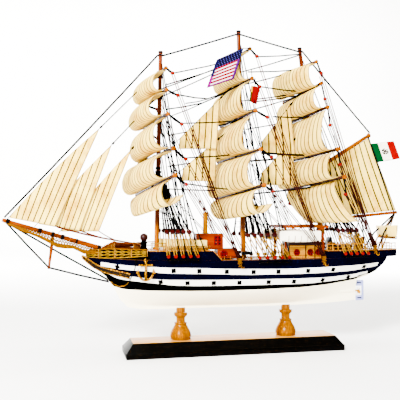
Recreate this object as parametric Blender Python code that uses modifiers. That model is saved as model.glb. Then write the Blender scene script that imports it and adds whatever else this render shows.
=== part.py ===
"""Wooden display model of a three-masted full-rigged ship on its stand.

The bow points along -X, port is -Y (the side nearest the viewer) and +Z is up.
The origin is under the middle of the stand's base, on the table.
Every size below is in millimetres, and place() turns it into metres.
"""
import bpy
import bmesh
from math import atan2, cos, pi, radians, sin
from mathutils import Matrix, Vector

MM = 0.001
GAP = 0.3                      # between pieces that touch

# Stand: a chamfered base and two turned pedestals
BASE_LENGTH = 285.0
BASE_WIDTH = 58.8
BASE_BAND = 7.4                # upright edge below the chamfer
BASE_HEIGHT = 18.0
BASE_CHAMFER = 9.1
PEDESTAL_X = (-70.3, 71.3)
PEDESTAL_TOP = 58.2
KEEL_SLOT_FLOOR = 56.7

# Hull
STEM_X = -193.0
STERNPOST_X = 171.0
COUNTER_END_X = 217.0
KEEL_HALF = 1.5
SHAFT_Z = 73.8                 # propeller shaft above the table
FORE_DECK_Z = 132.0            # raised fore deck
HEAD_DECK_Z = 131.7            # small deck at the bow, inside the head rail
WAIST_DECK_Z = 119.7
POOP_DECK_Z = 130.0
FORE_DECK_SPAN = (-113.5, -34.7, -24.0)   # front, top of the slope, foot of the slope
HEAD_DECK_SPAN = (-177.0, -114.5)
POOP_SPAN = (119.0, 231.0)
CHANNEL_Y = 38.0               # outer edge of the shroud shelves

# Rudder and propeller
RUDDER_AXIS_X = 172.8
RUDDER_Z = (60.5, 88.0)
RUDDER_END_X = 183.5
RUDDER_THICK = 1.4
APERTURE_Z = (67.4, 80.2)      # gap in the rudder that the propeller turns in
APERTURE_END_X = 180.6
PROPELLER_X = 176.4
PROPELLER_RADIUS = 5.2

# Rig
YARD_FORWARD = 5.0             # yard's centre ahead of the mast's
BRACE = radians(5.0)           # port arm swung aft
SAIL_THICK = 0.8
STAY_RADIUS = 0.45
# mast: foot x, z of the foot, top x, top z, radius at the foot and the top
MASTS = {
    "fore": (-101.8, FORE_DECK_Z + GAP, -97.0, 388.7, 3.2, 2.5),
    "main": (13.7, WAIST_DECK_Z + GAP, 7.3, 421.6, 3.2, 2.5),
    "mizzen": (124.4, POOP_DECK_Z + 0.75, 92.6, 403.4, 3.2, 2.5),
}
YARD_NAMES = ("royal", "topgallant", "upper_topsail", "lower_topsail", "course")
YARD_HALF = (54.0, 59.0, 68.0, 82.0, 90.0)
YARD_RADIUS = (1.9, 2.0, 2.1, 2.3, 2.4)
YARD_TAPER = 0.85               # tip radius over middle radius
YARD_Z = {
    "fore": (355.0, 327.5, 295.2, 250.9, 213.5),
    "main": (384.0, 346.0, 303.3, 254.1, 206.5),
    "mizzen": (374.0, 340.3, 308.9, 255.6, 218.8),
}
# degrees that each yard's port arm stands above level, and its extra swing aft
YARD_TILT = {
    "fore": (0.0, 0.0, 1.5, 2.5, 6.0),
    "main": (0.0, 0.0, 1.0, 1.3, 3.8),
    "mizzen": (-2.0, 3.1, 2.6, 1.7, 3.0),
}
YARD_SWING = {
    "fore": (0.0, 0.0, 0.0, 3.0, 3.0),
    "main": (0.0, 0.0, 0.0, 0.0, 0.0),
    "mizzen": (0.0, 0.0, 0.0, 0.0, 0.0),
}
# square sails, from the royal down. Head: half width. Foot: half width, z of its middle, z of its
# corners, degrees that its port end stands higher, corners' set aft.
# Roll: forward reach above and below, lift above, droop below, loss at the leeches, starboard's gain.
SAILS = {
    "fore": (
        (49.7, 54.0, 331.0, 331.5, 0.0, 0.0, 29.0, 29.0, 3.0, 12.0, 0.30, 0.10),
        (54.3, 62.0, 299.0, 300.0, 1.5, 0.0, 33.0, 34.0, 0.0, 17.0, 0.20, 0.05),
        (57.8, 76.0, 256.0, 256.5, 2.5, 8.0, 26.0, 36.0, -4.0, 13.0, 0.15, 0.06),
        (75.4, 82.0, 218.5, 219.0, 5.0, 2.0, 32.0, 33.0, 2.0, 15.0, 0.15, 0.00),
        (77.0, 76.0, 190.0, 195.0, 4.5, 19.0, 25.0, 28.0, 0.0, 40.0, 0.15, 0.00),
    ),
    "main": (
        (49.7, 54.0, 349.8, 349.8, 0.0, 0.0, 22.0, 24.0, 0.0, 10.0, 0.30, 0.00),
        (54.3, 64.0, 307.2, 307.2, 1.0, 2.0, 20.0, 28.0, -2.0, 10.0, 0.20, 0.00),
        (62.6, 76.0, 258.2, 258.2, 1.3, 3.0, 18.0, 34.0, -10.0, 10.0, 0.15, 0.00),
        (75.4, 84.0, 211.3, 212.0, 3.8, 2.0, 26.0, 34.0, 0.0, 14.0, 0.35, 0.00),
        (82.8, 82.0, 184.5, 188.5, 1.5, 17.0, 26.0, 26.0, 0.0, 38.0, 0.15, 0.00),
    ),
    "mizzen": (
        (49.7, 54.0, 349.0, 349.0, -2.0, 0.0, 26.0, 26.0, 10.0, 10.0, 0.35, 0.15),
        (54.3, 60.0, 317.0, 318.0, 2.0, 4.0, 14.0, 20.0, -2.0, 6.0, 0.20, 0.00),
        (62.6, 74.0, 260.0, 260.5, 1.7, 4.0, 8.0, 26.0, -10.0, 8.0, 0.20, 0.00),
        (75.4, 80.0, 224.0, 224.5, 3.0, 2.0, 16.0, 24.0, 0.0, 12.0, 0.20, 0.00),
        (72.0, 60.0, 166.5, 168.0, 1.0, 21.0, 14.0, 10.0, -6.0, 4.0, 0.10, 0.00),
    ),
}
MIZZEN_COURSE_SHIFT = -14.0    # its foot is hauled to port
MIZZEN_COURSE_AFT = 2.0        # and its middle aft
MIZZEN_COURSE_TWIST = 4.0      # its port clew further aft than its starboard one

# Bowsprit
BOWSPRIT_HEEL = (-172.0, 134.9)
BOWSPRIT_TIP = (-291.8, 170.9)
BOWSPRIT_RISE = (BOWSPRIT_TIP[1] - BOWSPRIT_HEEL[1], BOWSPRIT_HEEL[0] - BOWSPRIT_TIP[0])
BOWSPRIT_RADII = (3.0, 2.3)
STRIKER_TOP = (-231.0, 151.5)
STRIKER_FOOT = (-236.0, 110.0)

# Spanker spars
GAFF = ((115.9, 238.8), (194.8, 287.5))
BOOM = ((123.4, 169.9), (234.1, 180.5))

COLOURS = {
    # name: red, green, blue, roughness, metallic
    "black_lacquer": (0.012, 0.011, 0.012, 0.2, 0.0),
    "amber_wood": (0.72, 0.33, 0.03, 0.2, 0.0),
    "navy_paint": (0.015, 0.018, 0.09, 0.25, 0.0),
    "deck_wood": (0.62, 0.36, 0.12, 0.45, 0.0),
    "spar_wood": (0.55, 0.22, 0.05, 0.3, 0.0),
    "house_wood": (0.75, 0.25, 0.05, 0.4, 0.0),
    "funnel_yellow": (0.9, 0.6, 0.03, 0.35, 0.0),
    "boat_paint": (0.9, 0.86, 0.7, 0.35, 0.0),
    "dark_red": (0.18, 0.03, 0.02, 0.3, 0.0),
    "brass": (0.8, 0.55, 0.2, 0.3, 1.0),
    "grey_metal": (0.5, 0.52, 0.56, 0.35, 0.8),
    "black_cord": (0.02, 0.018, 0.018, 0.8, 0.0),
    "sail_cloth": (0.86, 0.78, 0.58, 0.85, 0.0),
    "flag_cloth": (0.5, 0.08, 0.25, 0.8, 0.0),
}

for old in list(bpy.data.objects):
    bpy.data.objects.remove(old, do_unlink=True)
ship = bpy.data.collections.new("tall_ship_model")
bpy.context.scene.collection.children.link(ship)


def material(name):
    """A plain Principled material in the piece's colour."""
    found = bpy.data.materials.get(name)
    if found:
        return found
    red, green, blue, roughness, metallic = COLOURS[name]
    made = bpy.data.materials.new(name)
    made.use_nodes = True
    shader = made.node_tree.nodes["Principled BSDF"]
    shader.inputs["Base Color"].default_value = (red, green, blue, 1.0)
    shader.inputs["Roughness"].default_value = roughness
    shader.inputs["Metallic"].default_value = metallic
    return made


def place(name, solid, finish, origin=(0.0, 0.0, 0.0)):
    """Turn a bmesh in millimetres into a named object in metres, with its origin given."""
    bmesh.ops.translate(solid, verts=solid.verts, vec=-Vector(origin))
    bmesh.ops.scale(solid, verts=solid.verts, vec=(MM, MM, MM))
    mesh = bpy.data.meshes.new(name)
    solid.to_mesh(mesh)
    solid.free()
    made = bpy.data.objects.new(name, mesh)
    made.location = Vector(origin) * MM
    mesh.materials.append(material(finish))
    ship.objects.link(made)
    return made


def box(low, high):
    """A block between two corners."""
    solid = bmesh.new()
    bmesh.ops.create_cube(solid, size=1.0)
    size = [b - a for a, b in zip(low, high)]
    bmesh.ops.scale(solid, verts=solid.verts, vec=size)
    middle = [(a + b) / 2 for a, b in zip(low, high)]
    bmesh.ops.translate(solid, verts=solid.verts, vec=middle)
    return solid


def rod(start, end, radius, end_radius=None, sides=8):
    """A straight round bar, tapered when an end radius is given."""
    start = Vector(start)
    along = Vector(end) - start
    if end_radius is None:
        end_radius = radius
    solid = bmesh.new()
    bmesh.ops.create_cone(solid, cap_ends=True, segments=sides, radius1=radius,
                          radius2=end_radius, depth=along.length)
    turn = Vector((0, 0, 1)).rotation_difference(along.normalized()).to_matrix().to_4x4()
    bmesh.ops.transform(solid, verts=solid.verts,
                        matrix=Matrix.Translation(start + along / 2) @ turn)
    return solid


def ball(centre, radius, finer=1):
    """A small round bead."""
    solid = bmesh.new()
    bmesh.ops.create_icosphere(solid, subdivisions=finer, radius=radius)
    bmesh.ops.translate(solid, verts=solid.verts, vec=centre)
    return solid


def ring(centre, axis, inner, outer, height, sides=12):
    """A flat-sided collar around an axis."""
    solid = bmesh.new()
    corners = [(inner, -height / 2), (outer, -height / 2), (outer, height / 2), (inner, height / 2)]
    profile = [solid.verts.new((r, 0.0, z)) for r, z in corners]
    edges = [solid.edges.new((profile[i], profile[(i + 1) % 4])) for i in range(4)]
    bmesh.ops.spin(solid, geom=profile + edges, cent=(0, 0, 0), axis=(0, 0, 1), dvec=(0, 0, 0),
                   angle=2 * pi, steps=sides, use_merge=True, use_duplicate=False)
    bmesh.ops.remove_doubles(solid, verts=solid.verts, dist=0.001)
    bmesh.ops.recalc_face_normals(solid, faces=solid.faces)
    turn = Vector((0, 0, 1)).rotation_difference(Vector(axis).normalized()).to_matrix().to_4x4()
    bmesh.ops.transform(solid, verts=solid.verts, matrix=Matrix.Translation(Vector(centre)) @ turn)
    return solid


def evaluated_mesh(thing):
    """The object's mesh with its modifiers applied."""
    view = bpy.context.evaluated_depsgraph_get()
    return bpy.data.meshes.new_from_object(thing.evaluated_get(view))


def thicken(cloth):
    """Give an open sheet the sail cloth's thickness."""
    shell = cloth.modifiers.new("thickness", 'SOLIDIFY')
    shell.thickness = SAIL_THICK * MM
    shell.offset = 0.0


def combine(name, pieces, finish, origin=(0.0, 0.0, 0.0), cuts=(), sheet=False):
    """One closed body from overlapping pieces, less the cuts; the first may be an open sheet."""
    body = place(name, pieces[0], finish, origin)
    if sheet:
        thicken(body)
    helpers = []
    work = [("UNION", piece) for piece in pieces[1:]] + [("DIFFERENCE", cut) for cut in cuts]
    for number, (operation, piece) in enumerate(work):
        other = place("%s_helper_%d" % (name, number), piece, finish)
        helpers.append(other)
        step = body.modifiers.new("step_%d" % number, 'BOOLEAN')
        step.operation = operation
        step.object = other
        step.solver = 'EXACT'
    bpy.context.view_layer.update()
    mesh = evaluated_mesh(body)
    body.modifiers.clear()
    old = body.data
    body.data = mesh
    bpy.data.meshes.remove(old)
    for other in helpers:
        helper_mesh = other.data
        bpy.data.objects.remove(other, do_unlink=True)
        bpy.data.meshes.remove(helper_mesh)
    mesh.name = name
    return body


def lathe(name, centre, profile, finish, sides=20):
    """A turned piece: its profile of (radius, z) runs down the outer side."""
    solid = bmesh.new()
    line = [solid.verts.new((r * MM, 0.0, z * MM)) for r, z in profile]
    for a, b in zip(line, line[1:]):
        solid.edges.new((a, b))
    mesh = bpy.data.meshes.new(name)
    solid.to_mesh(mesh)
    solid.free()
    made = bpy.data.objects.new(name, mesh)
    mesh.materials.append(material(finish))
    ship.objects.link(made)
    made.location = Vector((centre[0], centre[1], 0.0)) * MM
    turned = made.modifiers.new("turn", 'SCREW')
    turned.steps = sides
    turned.render_steps = sides
    turned.use_merge_vertices = True
    turned.merge_threshold = 0.00001
    return made


def tube(points, radius):
    """A bent bar through the points, six-sided, with closed ends."""
    curve = bpy.data.curves.new("tube", 'CURVE')
    curve.dimensions = '3D'
    curve.bevel_depth = radius
    curve.bevel_resolution = 1
    curve.use_fill_caps = True
    spline = curve.splines.new('POLY')
    spline.points.add(len(points) - 1)
    for spot, point in zip(spline.points, points):
        spot.co = (*point, 1.0)
    bent = bpy.data.objects.new("tube", curve)
    ship.objects.link(bent)
    bpy.context.view_layer.update()
    mesh = evaluated_mesh(bent)
    solid = bmesh.new()
    solid.from_mesh(mesh)
    bmesh.ops.remove_doubles(solid, verts=solid.verts, dist=0.001)
    bpy.data.objects.remove(bent, do_unlink=True)
    bpy.data.curves.remove(curve)
    bpy.data.meshes.remove(mesh)
    return solid


def mix(a, b, t):
    return a + (b - a) * t


def stand():
    """The chamfered base and the two turned pedestals, each slotted for the keel."""
    base = box((-BASE_LENGTH / 2, -BASE_WIDTH / 2, 0.0), (BASE_LENGTH / 2, BASE_WIDTH / 2, BASE_BAND))
    top = max(base.faces, key=lambda face: face.calc_center_median().z)
    raised = bmesh.ops.extrude_face_region(base, geom=[top])
    rim = [item for item in raised["geom"] if isinstance(item, bmesh.types.BMVert)]
    base.faces.remove(top)
    for vert in rim:
        vert.co.x *= (BASE_LENGTH / 2 - BASE_CHAMFER) / (BASE_LENGTH / 2)
        vert.co.y *= (BASE_WIDTH / 2 - BASE_CHAMFER) / (BASE_WIDTH / 2)
        vert.co.z = BASE_HEIGHT
    bmesh.ops.recalc_face_normals(base, faces=base.faces)
    place("stand_base", base, "black_lacquer")
    foot = BASE_HEIGHT + GAP
    profile = [(0.0, PEDESTAL_TOP), (5.8, PEDESTAL_TOP), (5.8, 52.0), (8.5, 51.4), (8.5, 47.0),
               (5.6, 46.0), (5.6, 39.8), (8.2, 39.2), (8.2, 34.4), (9.6, 32.0), (12.4, 28.0),
               (13.5, 24.0), (12.9, 20.6), (12.4, foot), (0.0, foot)]
    for side, x in zip(("fore", "aft"), PEDESTAL_X):
        name = "pedestal_" + side
        turned = lathe(name, (x, 0.0), profile, "amber_wood")
        slot = place(name + "_slot", box((x - 12, -KEEL_HALF - GAP, KEEL_SLOT_FLOOR),
                                         (x + 12, KEEL_HALF + GAP, PEDESTAL_TOP + 5)), "amber_wood")
        cut = turned.modifiers.new("keel_slot", 'BOOLEAN')
        cut.operation = 'DIFFERENCE'
        cut.object = slot
        cut.solver = 'EXACT'
        bpy.context.view_layer.update()
        mesh = evaluated_mesh(turned)
        turned.modifiers.clear()
        turned.data = mesh
        bpy.data.objects.remove(slot, do_unlink=True)


# stations: x, z of the keel, half breadth at the sheer, z of the sheer, fullness, hollow
STATIONS = (
    (-193.0, 122.6, 0.9, 124.6, 1.2, 1.0),
    (-186.0, 117.0, 5.0, 123.9, 1.2, 1.0),
    (-176.0, 108.0, 10.4, 123.3, 1.2, 1.05),
    (-166.0, 99.5, 14.8, 122.8, 1.2, 1.1),
    (-156.0, 86.0, 18.5, 122.3, 1.25, 1.15),
    (-148.0, 70.0, 21.0, 121.9, 1.3, 1.2),
    (-138.0, 60.5, 23.6, 121.5, 1.4, 1.2),
    (-120.0, 57.3, 27.0, 120.9, 1.7, 1.15),
    (-95.0, 57.0, 30.0, 120.3, 2.2, 1.05),
    (-60.0, 57.0, 31.6, 119.7, 2.8, 1.0),
    (-15.0, 57.0, 32.0, 119.3, 3.1, 1.0),
    (35.0, 57.0, 32.0, 119.3, 3.0, 1.0),
    (75.0, 57.1, 31.6, 119.4, 2.5, 1.05),
    (105.0, 57.8, 30.8, 119.6, 1.9, 1.2),
    (130.0, 58.8, 29.6, 119.8, 1.5, 1.45),
    (150.0, 60.0, 28.2, 120.0, 1.25, 1.65),
    (STERNPOST_X - 0.5, 61.6, 26.2, 120.2, 1.1, 1.9),
    (STERNPOST_X, 89.5, 26.2, 120.2, 1.5, 1.05),
    (186.0, 93.5, 23.6, 120.4, 1.5, 1.0),
    (201.0, 100.6, 18.8, 120.5, 1.5, 1.0),
    (212.0, 109.5, 11.5, 120.5, 1.6, 1.0),
    (COUNTER_END_X, 115.6, 4.5, 120.5, 1.6, 1.0),
)
KEEL_SHARE = 0.03              # part of a station's height that is the plain keel
HEIGHTS = (0.0, KEEL_SHARE, 0.08, 0.15, 0.26, 0.38, 0.52, 0.68, 0.84, 1.0)


def half_breadth(station, t):
    """Half the hull's width at height t of a station, from 0 at the keel to 1 at the sheer."""
    breadth, full, hollow = station[2], station[4], station[5]
    above_keel = max(0.0, t - KEEL_SHARE) / (1.0 - KEEL_SHARE)
    shape = (1.0 - (1.0 - above_keel) ** full) ** hollow
    least = min(KEEL_HALF, breadth * 0.6)
    return max(least, breadth * shape)


def station_at(x):
    """The station values at any x, read between the table's rows."""
    rows = [row for row in STATIONS if row[0] <= x]
    low = rows[-1] if rows else STATIONS[0]
    later = [row for row in STATIONS if row[0] > x]
    high = later[0] if later else STATIONS[-1]
    if high[0] == low[0]:
        return low
    t = (x - low[0]) / (high[0] - low[0])
    return tuple(mix(a, b, t) for a, b in zip(low, high))


def hull_side(x, z):
    """Half breadth of the hull at a point of its side."""
    station = station_at(x)
    t = (z - station[1]) / (station[3] - station[1])
    return half_breadth(station, min(1.0, max(0.0, t)))


def sheer_at(x):
    return station_at(x)[3]


def hull():
    """The solid hull, lofted through its stations from the stem to the counter."""
    solid = bmesh.new()
    loops = []
    for station in STATIONS:
        x, keel, _, sheer = station[:4]
        port = [(x, -half_breadth(station, t), mix(keel, sheer, t)) for t in HEIGHTS]
        starboard = [(px, -py, pz) for px, py, pz in reversed(port)]
        loops.append([solid.verts.new(p) for p in port + starboard])
    count = len(loops[0])
    for near, far in zip(loops, loops[1:]):
        for i in range(count):
            j = (i + 1) % count
            solid.faces.new((near[i], near[j], far[j], far[i]))
    solid.faces.new(loops[0])
    solid.faces.new(list(reversed(loops[-1])))
    bmesh.ops.triangulate(solid, faces=solid.faces)
    bmesh.ops.recalc_face_normals(solid, faces=solid.faces)
    place("hull", solid, "navy_paint")


def deck_block(name, stops, finish):
    """A raised deck: stops are rows of x, half breadth, underside z, top z."""
    solid = bmesh.new()
    loops = []
    for x, half, low, high in stops:
        corners = ((-half, low), (half, low), (half, high), (-half, high))
        loops.append([solid.verts.new((x, y, z)) for y, z in corners])
    for near, far in zip(loops, loops[1:]):
        for i in range(4):
            j = (i + 1) % 4
            solid.faces.new((near[i], near[j], far[j], far[i]))
    solid.faces.new(loops[0])
    solid.faces.new(list(reversed(loops[-1])))
    bmesh.ops.triangulate(solid, faces=solid.faces)
    bmesh.ops.recalc_face_normals(solid, faces=solid.faces)
    place(name, solid, finish)


def decks():
    """The raised fore deck, the head deck inside the bow rail, and the poop."""
    front, slope_top, slope_foot = FORE_DECK_SPAN
    rows = []
    for x in (front, -95.0, -60.0, slope_top):
        rows.append((x, hull_side(x, sheer_at(x)), sheer_at(x) + GAP, FORE_DECK_Z))
    rows.append((slope_foot, hull_side(slope_foot, 125.0), sheer_at(slope_foot) + GAP,
                 sheer_at(slope_foot) + 1.5))
    deck_block("fore_deck", rows, "navy_paint")
    rows = []
    for x in (HEAD_DECK_SPAN[0], -166.0, -148.0, -130.0, HEAD_DECK_SPAN[1]):
        rows.append((x, hull_side(x, 125.0) - 6.0, sheer_at(x) + GAP, HEAD_DECK_Z))
    deck_block("head_deck", rows, "deck_wood")
    rows = []
    for x, half in ((POOP_SPAN[0], 30.2), (150.0, 28.6), (175.0, 26.6), (200.0, 22.0),
                    (218.0, 15.5), (227.0, 9.5), (POOP_SPAN[1], 4.0)):
        rows.append((x, half, sheer_at(min(x, COUNTER_END_X)) + GAP, POOP_DECK_Z))
    deck_block("poop_deck", rows, "navy_paint")


def boat_shape(middle, length, beam, depth, along="x"):
    """A ship's boat: pointed at its bow, square at its stern, flat along the keel."""
    solid = bmesh.new()
    bmesh.ops.create_cube(solid, size=1.0)
    bmesh.ops.subdivide_edges(solid, edges=solid.edges, cuts=3, use_grid_fill=True)
    for vert in solid.verts:
        x, y, z = vert.co
        bow = max(0.0, -x * 2.0)
        narrow = 1.0 - 0.82 * bow ** 2.2
        bilge = 1.0 - 0.62 * (0.5 - z) ** 2.0
        vert.co = (x * length, y * beam * narrow * bilge, z * depth + 0.12 * depth * bow ** 2 * (z + 0.5))
    if along == "y":
        bmesh.ops.rotate(solid, verts=solid.verts, matrix=Matrix.Rotation(radians(90), 3, 'Z'))
    bmesh.ops.translate(solid, verts=solid.verts, vec=middle)
    return solid


def deck_gear():
    """Houses, funnel, boats and their frame, skylight, wheel stand and capstan."""
    top = FORE_DECK_Z + GAP
    waist = WAIST_DECK_Z + GAP
    combine("deck_house_fore", [
        box((-51.0, -10.0, top), (-17.0, 10.0, 152.3)),
        box((-23.0, -10.0, waist), (1.0, 10.0, 133.0)),
    ], "house_wood")
    place("funnel", rod((-38.0, 0.0, 152.3 + GAP), (-38.0, 0.0, 180.5), 3.2, sides=16), "funnel_yellow")
    combine("deck_house_mid", [
        box((71.0, -16.0, waist), (117.0, 16.0, 138.0)),
        box((72.0, -14.0, 137.0), (116.5, 14.0, 142.0)),
    ], "house_wood")
    place("skylight", box((140.0, -8.0, POOP_DECK_Z + GAP), (163.0, 8.0, 138.0)), "dark_red")
    combine("wheel_stand", [
        rod((182.0, 0.0, POOP_DECK_Z + GAP), (182.0, 0.0, 143.0), 1.8),
        rod((180.5, 0.0, 142.0), (183.5, 0.0, 142.0), 6.0, sides=12),
    ], "dark_red")
    combine("capstan", [
        rod((-118.0, 0.0, HEAD_DECK_Z + GAP), (-118.0, 0.0, 146.0), 2.4),
        ball((-118.0, 0.0, 148.0), 4.4, 2),
    ], "dark_red")
    posts = []
    for x in (64.0, 115.8):
        posts.append(box((x - 1.4, -38.0, 159.6), (x + 1.4, 38.0, 163.0)))
        for side in (-1, 1):
            y = side * 22.0
            posts.append(box((x - 1.4, y - 1.4, waist), (x + 1.4, y + 1.4, 162.0)))
            posts.append(rod((x - 3.0 * (1 if x > 90 else -1), side * 35.0, 161.0),
                             (x - 13.0 * (1 if x > 90 else -1), side * 35.0, 156.6), 0.6, sides=5))
    for side in (-1, 1):
        y = side * 22.0
        posts.append(box((58.0, y - 1.6, 160.2), (119.0, y + 1.6, 163.6)))
        posts.append(box((61.0, side * 35.0 - 0.9, 160.0), (118.0, side * 35.0 + 0.9, 162.4)))
    combine("boat_frame", posts, "spar_wood")
    for name, side in (("port", -1), ("starboard", 1)):
        place("boat_fore_" + name, boat_shape((-68.5, side * 20.0, 138.7), 55.0, 12.5, 12.6), "boat_paint")
        place("boat_waist_" + name, boat_shape((79.0, side * 35.0, 149.0), 54.0, 12.0, 14.0), "boat_paint")
    davits = [boat_shape((221.0, 0.0, 152.5), 46.0, 19.0, 19.0, along="y")]
    for side in (-1, 1):
        foot = (207.0, side * 9.0, POOP_DECK_Z + GAP)
        davits.append(tube([foot, (207.0, side * 9.0, 141.0), (216.0, side * 9.0, 149.0)], 0.9))
    combine("boat_stern", davits, "boat_paint")


def rudder_and_propeller():
    """The rudder turns about its stock, and the propeller turns in the rudder's aperture."""
    low, high = RUDDER_Z
    half = RUDDER_THICK / 2
    blade = box((RUDDER_AXIS_X, -half, low), (RUDDER_END_X, half, high))
    stock_low = rod((RUDDER_AXIS_X, 0, low), (RUDDER_AXIS_X, 0, high), 1.1, sides=12)
    aperture = box((RUDDER_AXIS_X - 3.0, -3.0, APERTURE_Z[0]), (APERTURE_END_X, 3.0, APERTURE_Z[1]))
    combine("rudder", [blade, stock_low], "grey_metal", (RUDDER_AXIS_X, 0.0, 0.0), [aperture])
    hub = [rod((STERNPOST_X + GAP, 0, SHAFT_Z), (PROPELLER_X + 1.6, 0, SHAFT_Z), 1.2, 0.9, sides=12)]
    for number in range(4):
        angle = radians(45 + 90 * number)
        blade = box((-0.35, -1.5, 0.6), (0.35, 1.5, PROPELLER_RADIUS))
        pitch = Matrix.Rotation(radians(32), 4, 'Z')
        spin = Matrix.Rotation(angle, 4, 'X')
        bmesh.ops.transform(blade, verts=blade.verts,
                            matrix=Matrix.Translation((PROPELLER_X, 0, SHAFT_Z)) @ spin @ pitch)
        hub.append(blade)
    combine("propeller", hub, "brass", (PROPELLER_X, 0.0, SHAFT_Z))


def mast_x(mast, z):
    foot_x, foot_z, top_x, top_z = MASTS[mast][:4]
    return mix(foot_x, top_x, (z - foot_z) / (top_z - foot_z))


def mast_radius(mast, z):
    _, foot_z, _, top_z, low, high = MASTS[mast]
    return mix(low, high, (z - foot_z) / (top_z - foot_z))


def bowsprit_share(x):
    """0 at the bowsprit's heel, 1 at its tip."""
    return (BOWSPRIT_HEEL[0] - x) / (BOWSPRIT_HEEL[0] - BOWSPRIT_TIP[0])


def bowsprit_z(x):
    return mix(BOWSPRIT_HEEL[1], BOWSPRIT_TIP[1], bowsprit_share(x))


def bowsprit_radius(x):
    return mix(BOWSPRIT_RADII[0], BOWSPRIT_RADII[1], bowsprit_share(x))


def yard_point(mast, number, z, across, forward):
    """A point in a yard's own plane: across is +starboard, forward is ahead of the mast's centre."""
    swing = BRACE + radians(YARD_SWING[mast][number])
    tilt = radians(YARD_TILT[mast][number])
    x = mast_x(mast, z) - forward * cos(swing) - across * sin(swing)
    y = across * cos(swing) - forward * sin(swing)
    return (x, y, z - across * sin(tilt))


def spars():
    """Each mast with its five yards, held by a short parrel to the mast."""
    for mast, (foot_x, foot_z, top_x, top_z, low, high) in MASTS.items():
        pieces = [rod((foot_x, 0, foot_z), (top_x, 0, top_z), low, high, sides=12)]
        for number, (z, half, radius) in enumerate(zip(YARD_Z[mast], YARD_HALF, YARD_RADIUS)):
            middle = yard_point(mast, number, z, 0.0, YARD_FORWARD)
            for side in (-1, 1):
                tip = yard_point(mast, number, z, side * half, YARD_FORWARD)
                start = yard_point(mast, number, z, -side * 0.6, YARD_FORWARD)
                pieces.append(rod(start, tip, radius, radius * YARD_TAPER))
            parrel = (mast_x(mast, z), 0.0, z)
            pieces.append(rod(parrel, middle, 1.2, sides=6))
        combine("mast_" + mast, pieces, "spar_wood")


def square_sail_point(mast, number, across, down):
    """A point of a square sail: across runs -1 port to 1 starboard, down runs 0 head to 1 foot."""
    (head_half, foot_half, foot_middle, foot_corner, foot_rise, clew_aft,
     reach_high, reach_low, lift, droop, loss, gain) = SAILS[mast][number]
    head_z = YARD_Z[mast][number]
    tilt = YARD_TILT[mast][number]
    roll = 1.0 - loss * across ** 2 + gain * across
    below = YARD_RADIUS[number] + SAIL_THICK / 2 + GAP + 0.05
    head_low = head_z - below - across * head_half * sin(radians(tilt))
    foot_low = mix(foot_middle, foot_corner, across ** 2) - across * foot_half * sin(radians(foot_rise))
    front = YARD_FORWARD + YARD_RADIUS[number] + SAIL_THICK / 2 + GAP
    foot_front = front - clew_aft * across ** 2
    shift = 0.0
    if (mast, number) == ("mizzen", 4):
        foot_front += MIZZEN_COURSE_TWIST * across - MIZZEN_COURSE_AFT
        shift = MIZZEN_COURSE_SHIFT * down ** 2 * (3 - 2 * down)
    shares = ((1 - down) ** 3, 3 * (1 - down) ** 2 * down, 3 * (1 - down) * down ** 2, down ** 3)
    heights = (head_low, head_low + lift * roll, foot_low - droop * roll, foot_low)
    fronts = (YARD_FORWARD + GAP, front + reach_high * roll, foot_front + reach_low * roll, foot_front)
    z = sum(share * value for share, value in zip(shares, heights))
    forward = sum(share * value for share, value in zip(shares, fronts))
    half = mix(head_half, foot_half, down)
    axis_z = mix(head_z, foot_middle, down ** 2 * (3 - 2 * down))
    x, y, _ = yard_point(mast, number, axis_z, across * half + shift, forward)
    return (x, y, z)


def square_sails():
    """Fifteen square sails, each hung below its yard and rolled forward like a stiff tube."""
    for mast in MASTS:
        for number, name in enumerate(YARD_NAMES):
            solid = bmesh.new()
            bmesh.ops.create_grid(solid, x_segments=5, y_segments=8, size=1.0)
            for vert in solid.verts:
                vert.co = square_sail_point(mast, number, vert.co.x, (1.0 - vert.co.y) / 2)
            thicken(place("sail_%s_%s" % (mast, name), solid, "sail_cloth"))


# fore-and-aft sails: name, corners (x, z) as top fore, bottom fore, bottom aft, top aft, roach of
# the luff, set of the clew to port, and the mast that the stay starts from, or none for a stay
# from the bowsprit
STAY_SAILS = (
    ("jib_outer", (-283.0, 174.9), (-282.0, 173.6), (-228.2, 163.0), (-174.9, 285.8), 2.6, 8.0, ""),
    ("jib_middle", (-249.0, 167.3), (-248.0, 166.0), (-199.0, 157.2), (-159.4, 265.5), 1.5, 8.0, ""),
    ("jib_inner", (-221.5, 157.8), (-220.5, 156.6), (-175.2, 156.6), (-134.5, 260.2), 1.5, 8.0, ""),
    ("staysail_main_upper", (-71.6, 275.8), (-72.8, 262.6), (-24.0, 263.0), (-18.5, 329.2), 0.0, 6.0, "fore"),
    ("staysail_main_lower", (-67.0, 236.8), (-69.5, 221.3), (-25.3, 220.6), (-22.6, 274.5), 0.0, 4.0, "fore"),
    ("staysail_mizzen_upper", (39.4, 274.5), (38.6, 257.6), (83.1, 258.0), (78.5, 323.5), 0.0, 6.0, "main"),
    ("staysail_mizzen_lower", (38.6, 232.5), (37.2, 216.4), (82.6, 217.0), (82.5, 276.0), 0.0, 4.0, "main"),
)
STAY_SAIL_BELLY = 2.0


def stay_start(luff_low, luff_high, mast):
    """Where the stay along a sail's fore edge meets the mast or the bowsprit below it."""
    along = (luff_high - luff_low).normalized()
    for step in range(700):
        point = luff_low - along * (step * 0.1)
        if mast:
            clear = point.x - mast_x(mast, point.y) - mast_radius(mast, point.y)
        else:
            clear = (point.y - bowsprit_z(point.x)) * cos(atan2(*BOWSPRIT_RISE)) - bowsprit_radius(point.x)
        if clear < GAP + STAY_RADIUS:
            break
    return point + along * 0.1


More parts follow.
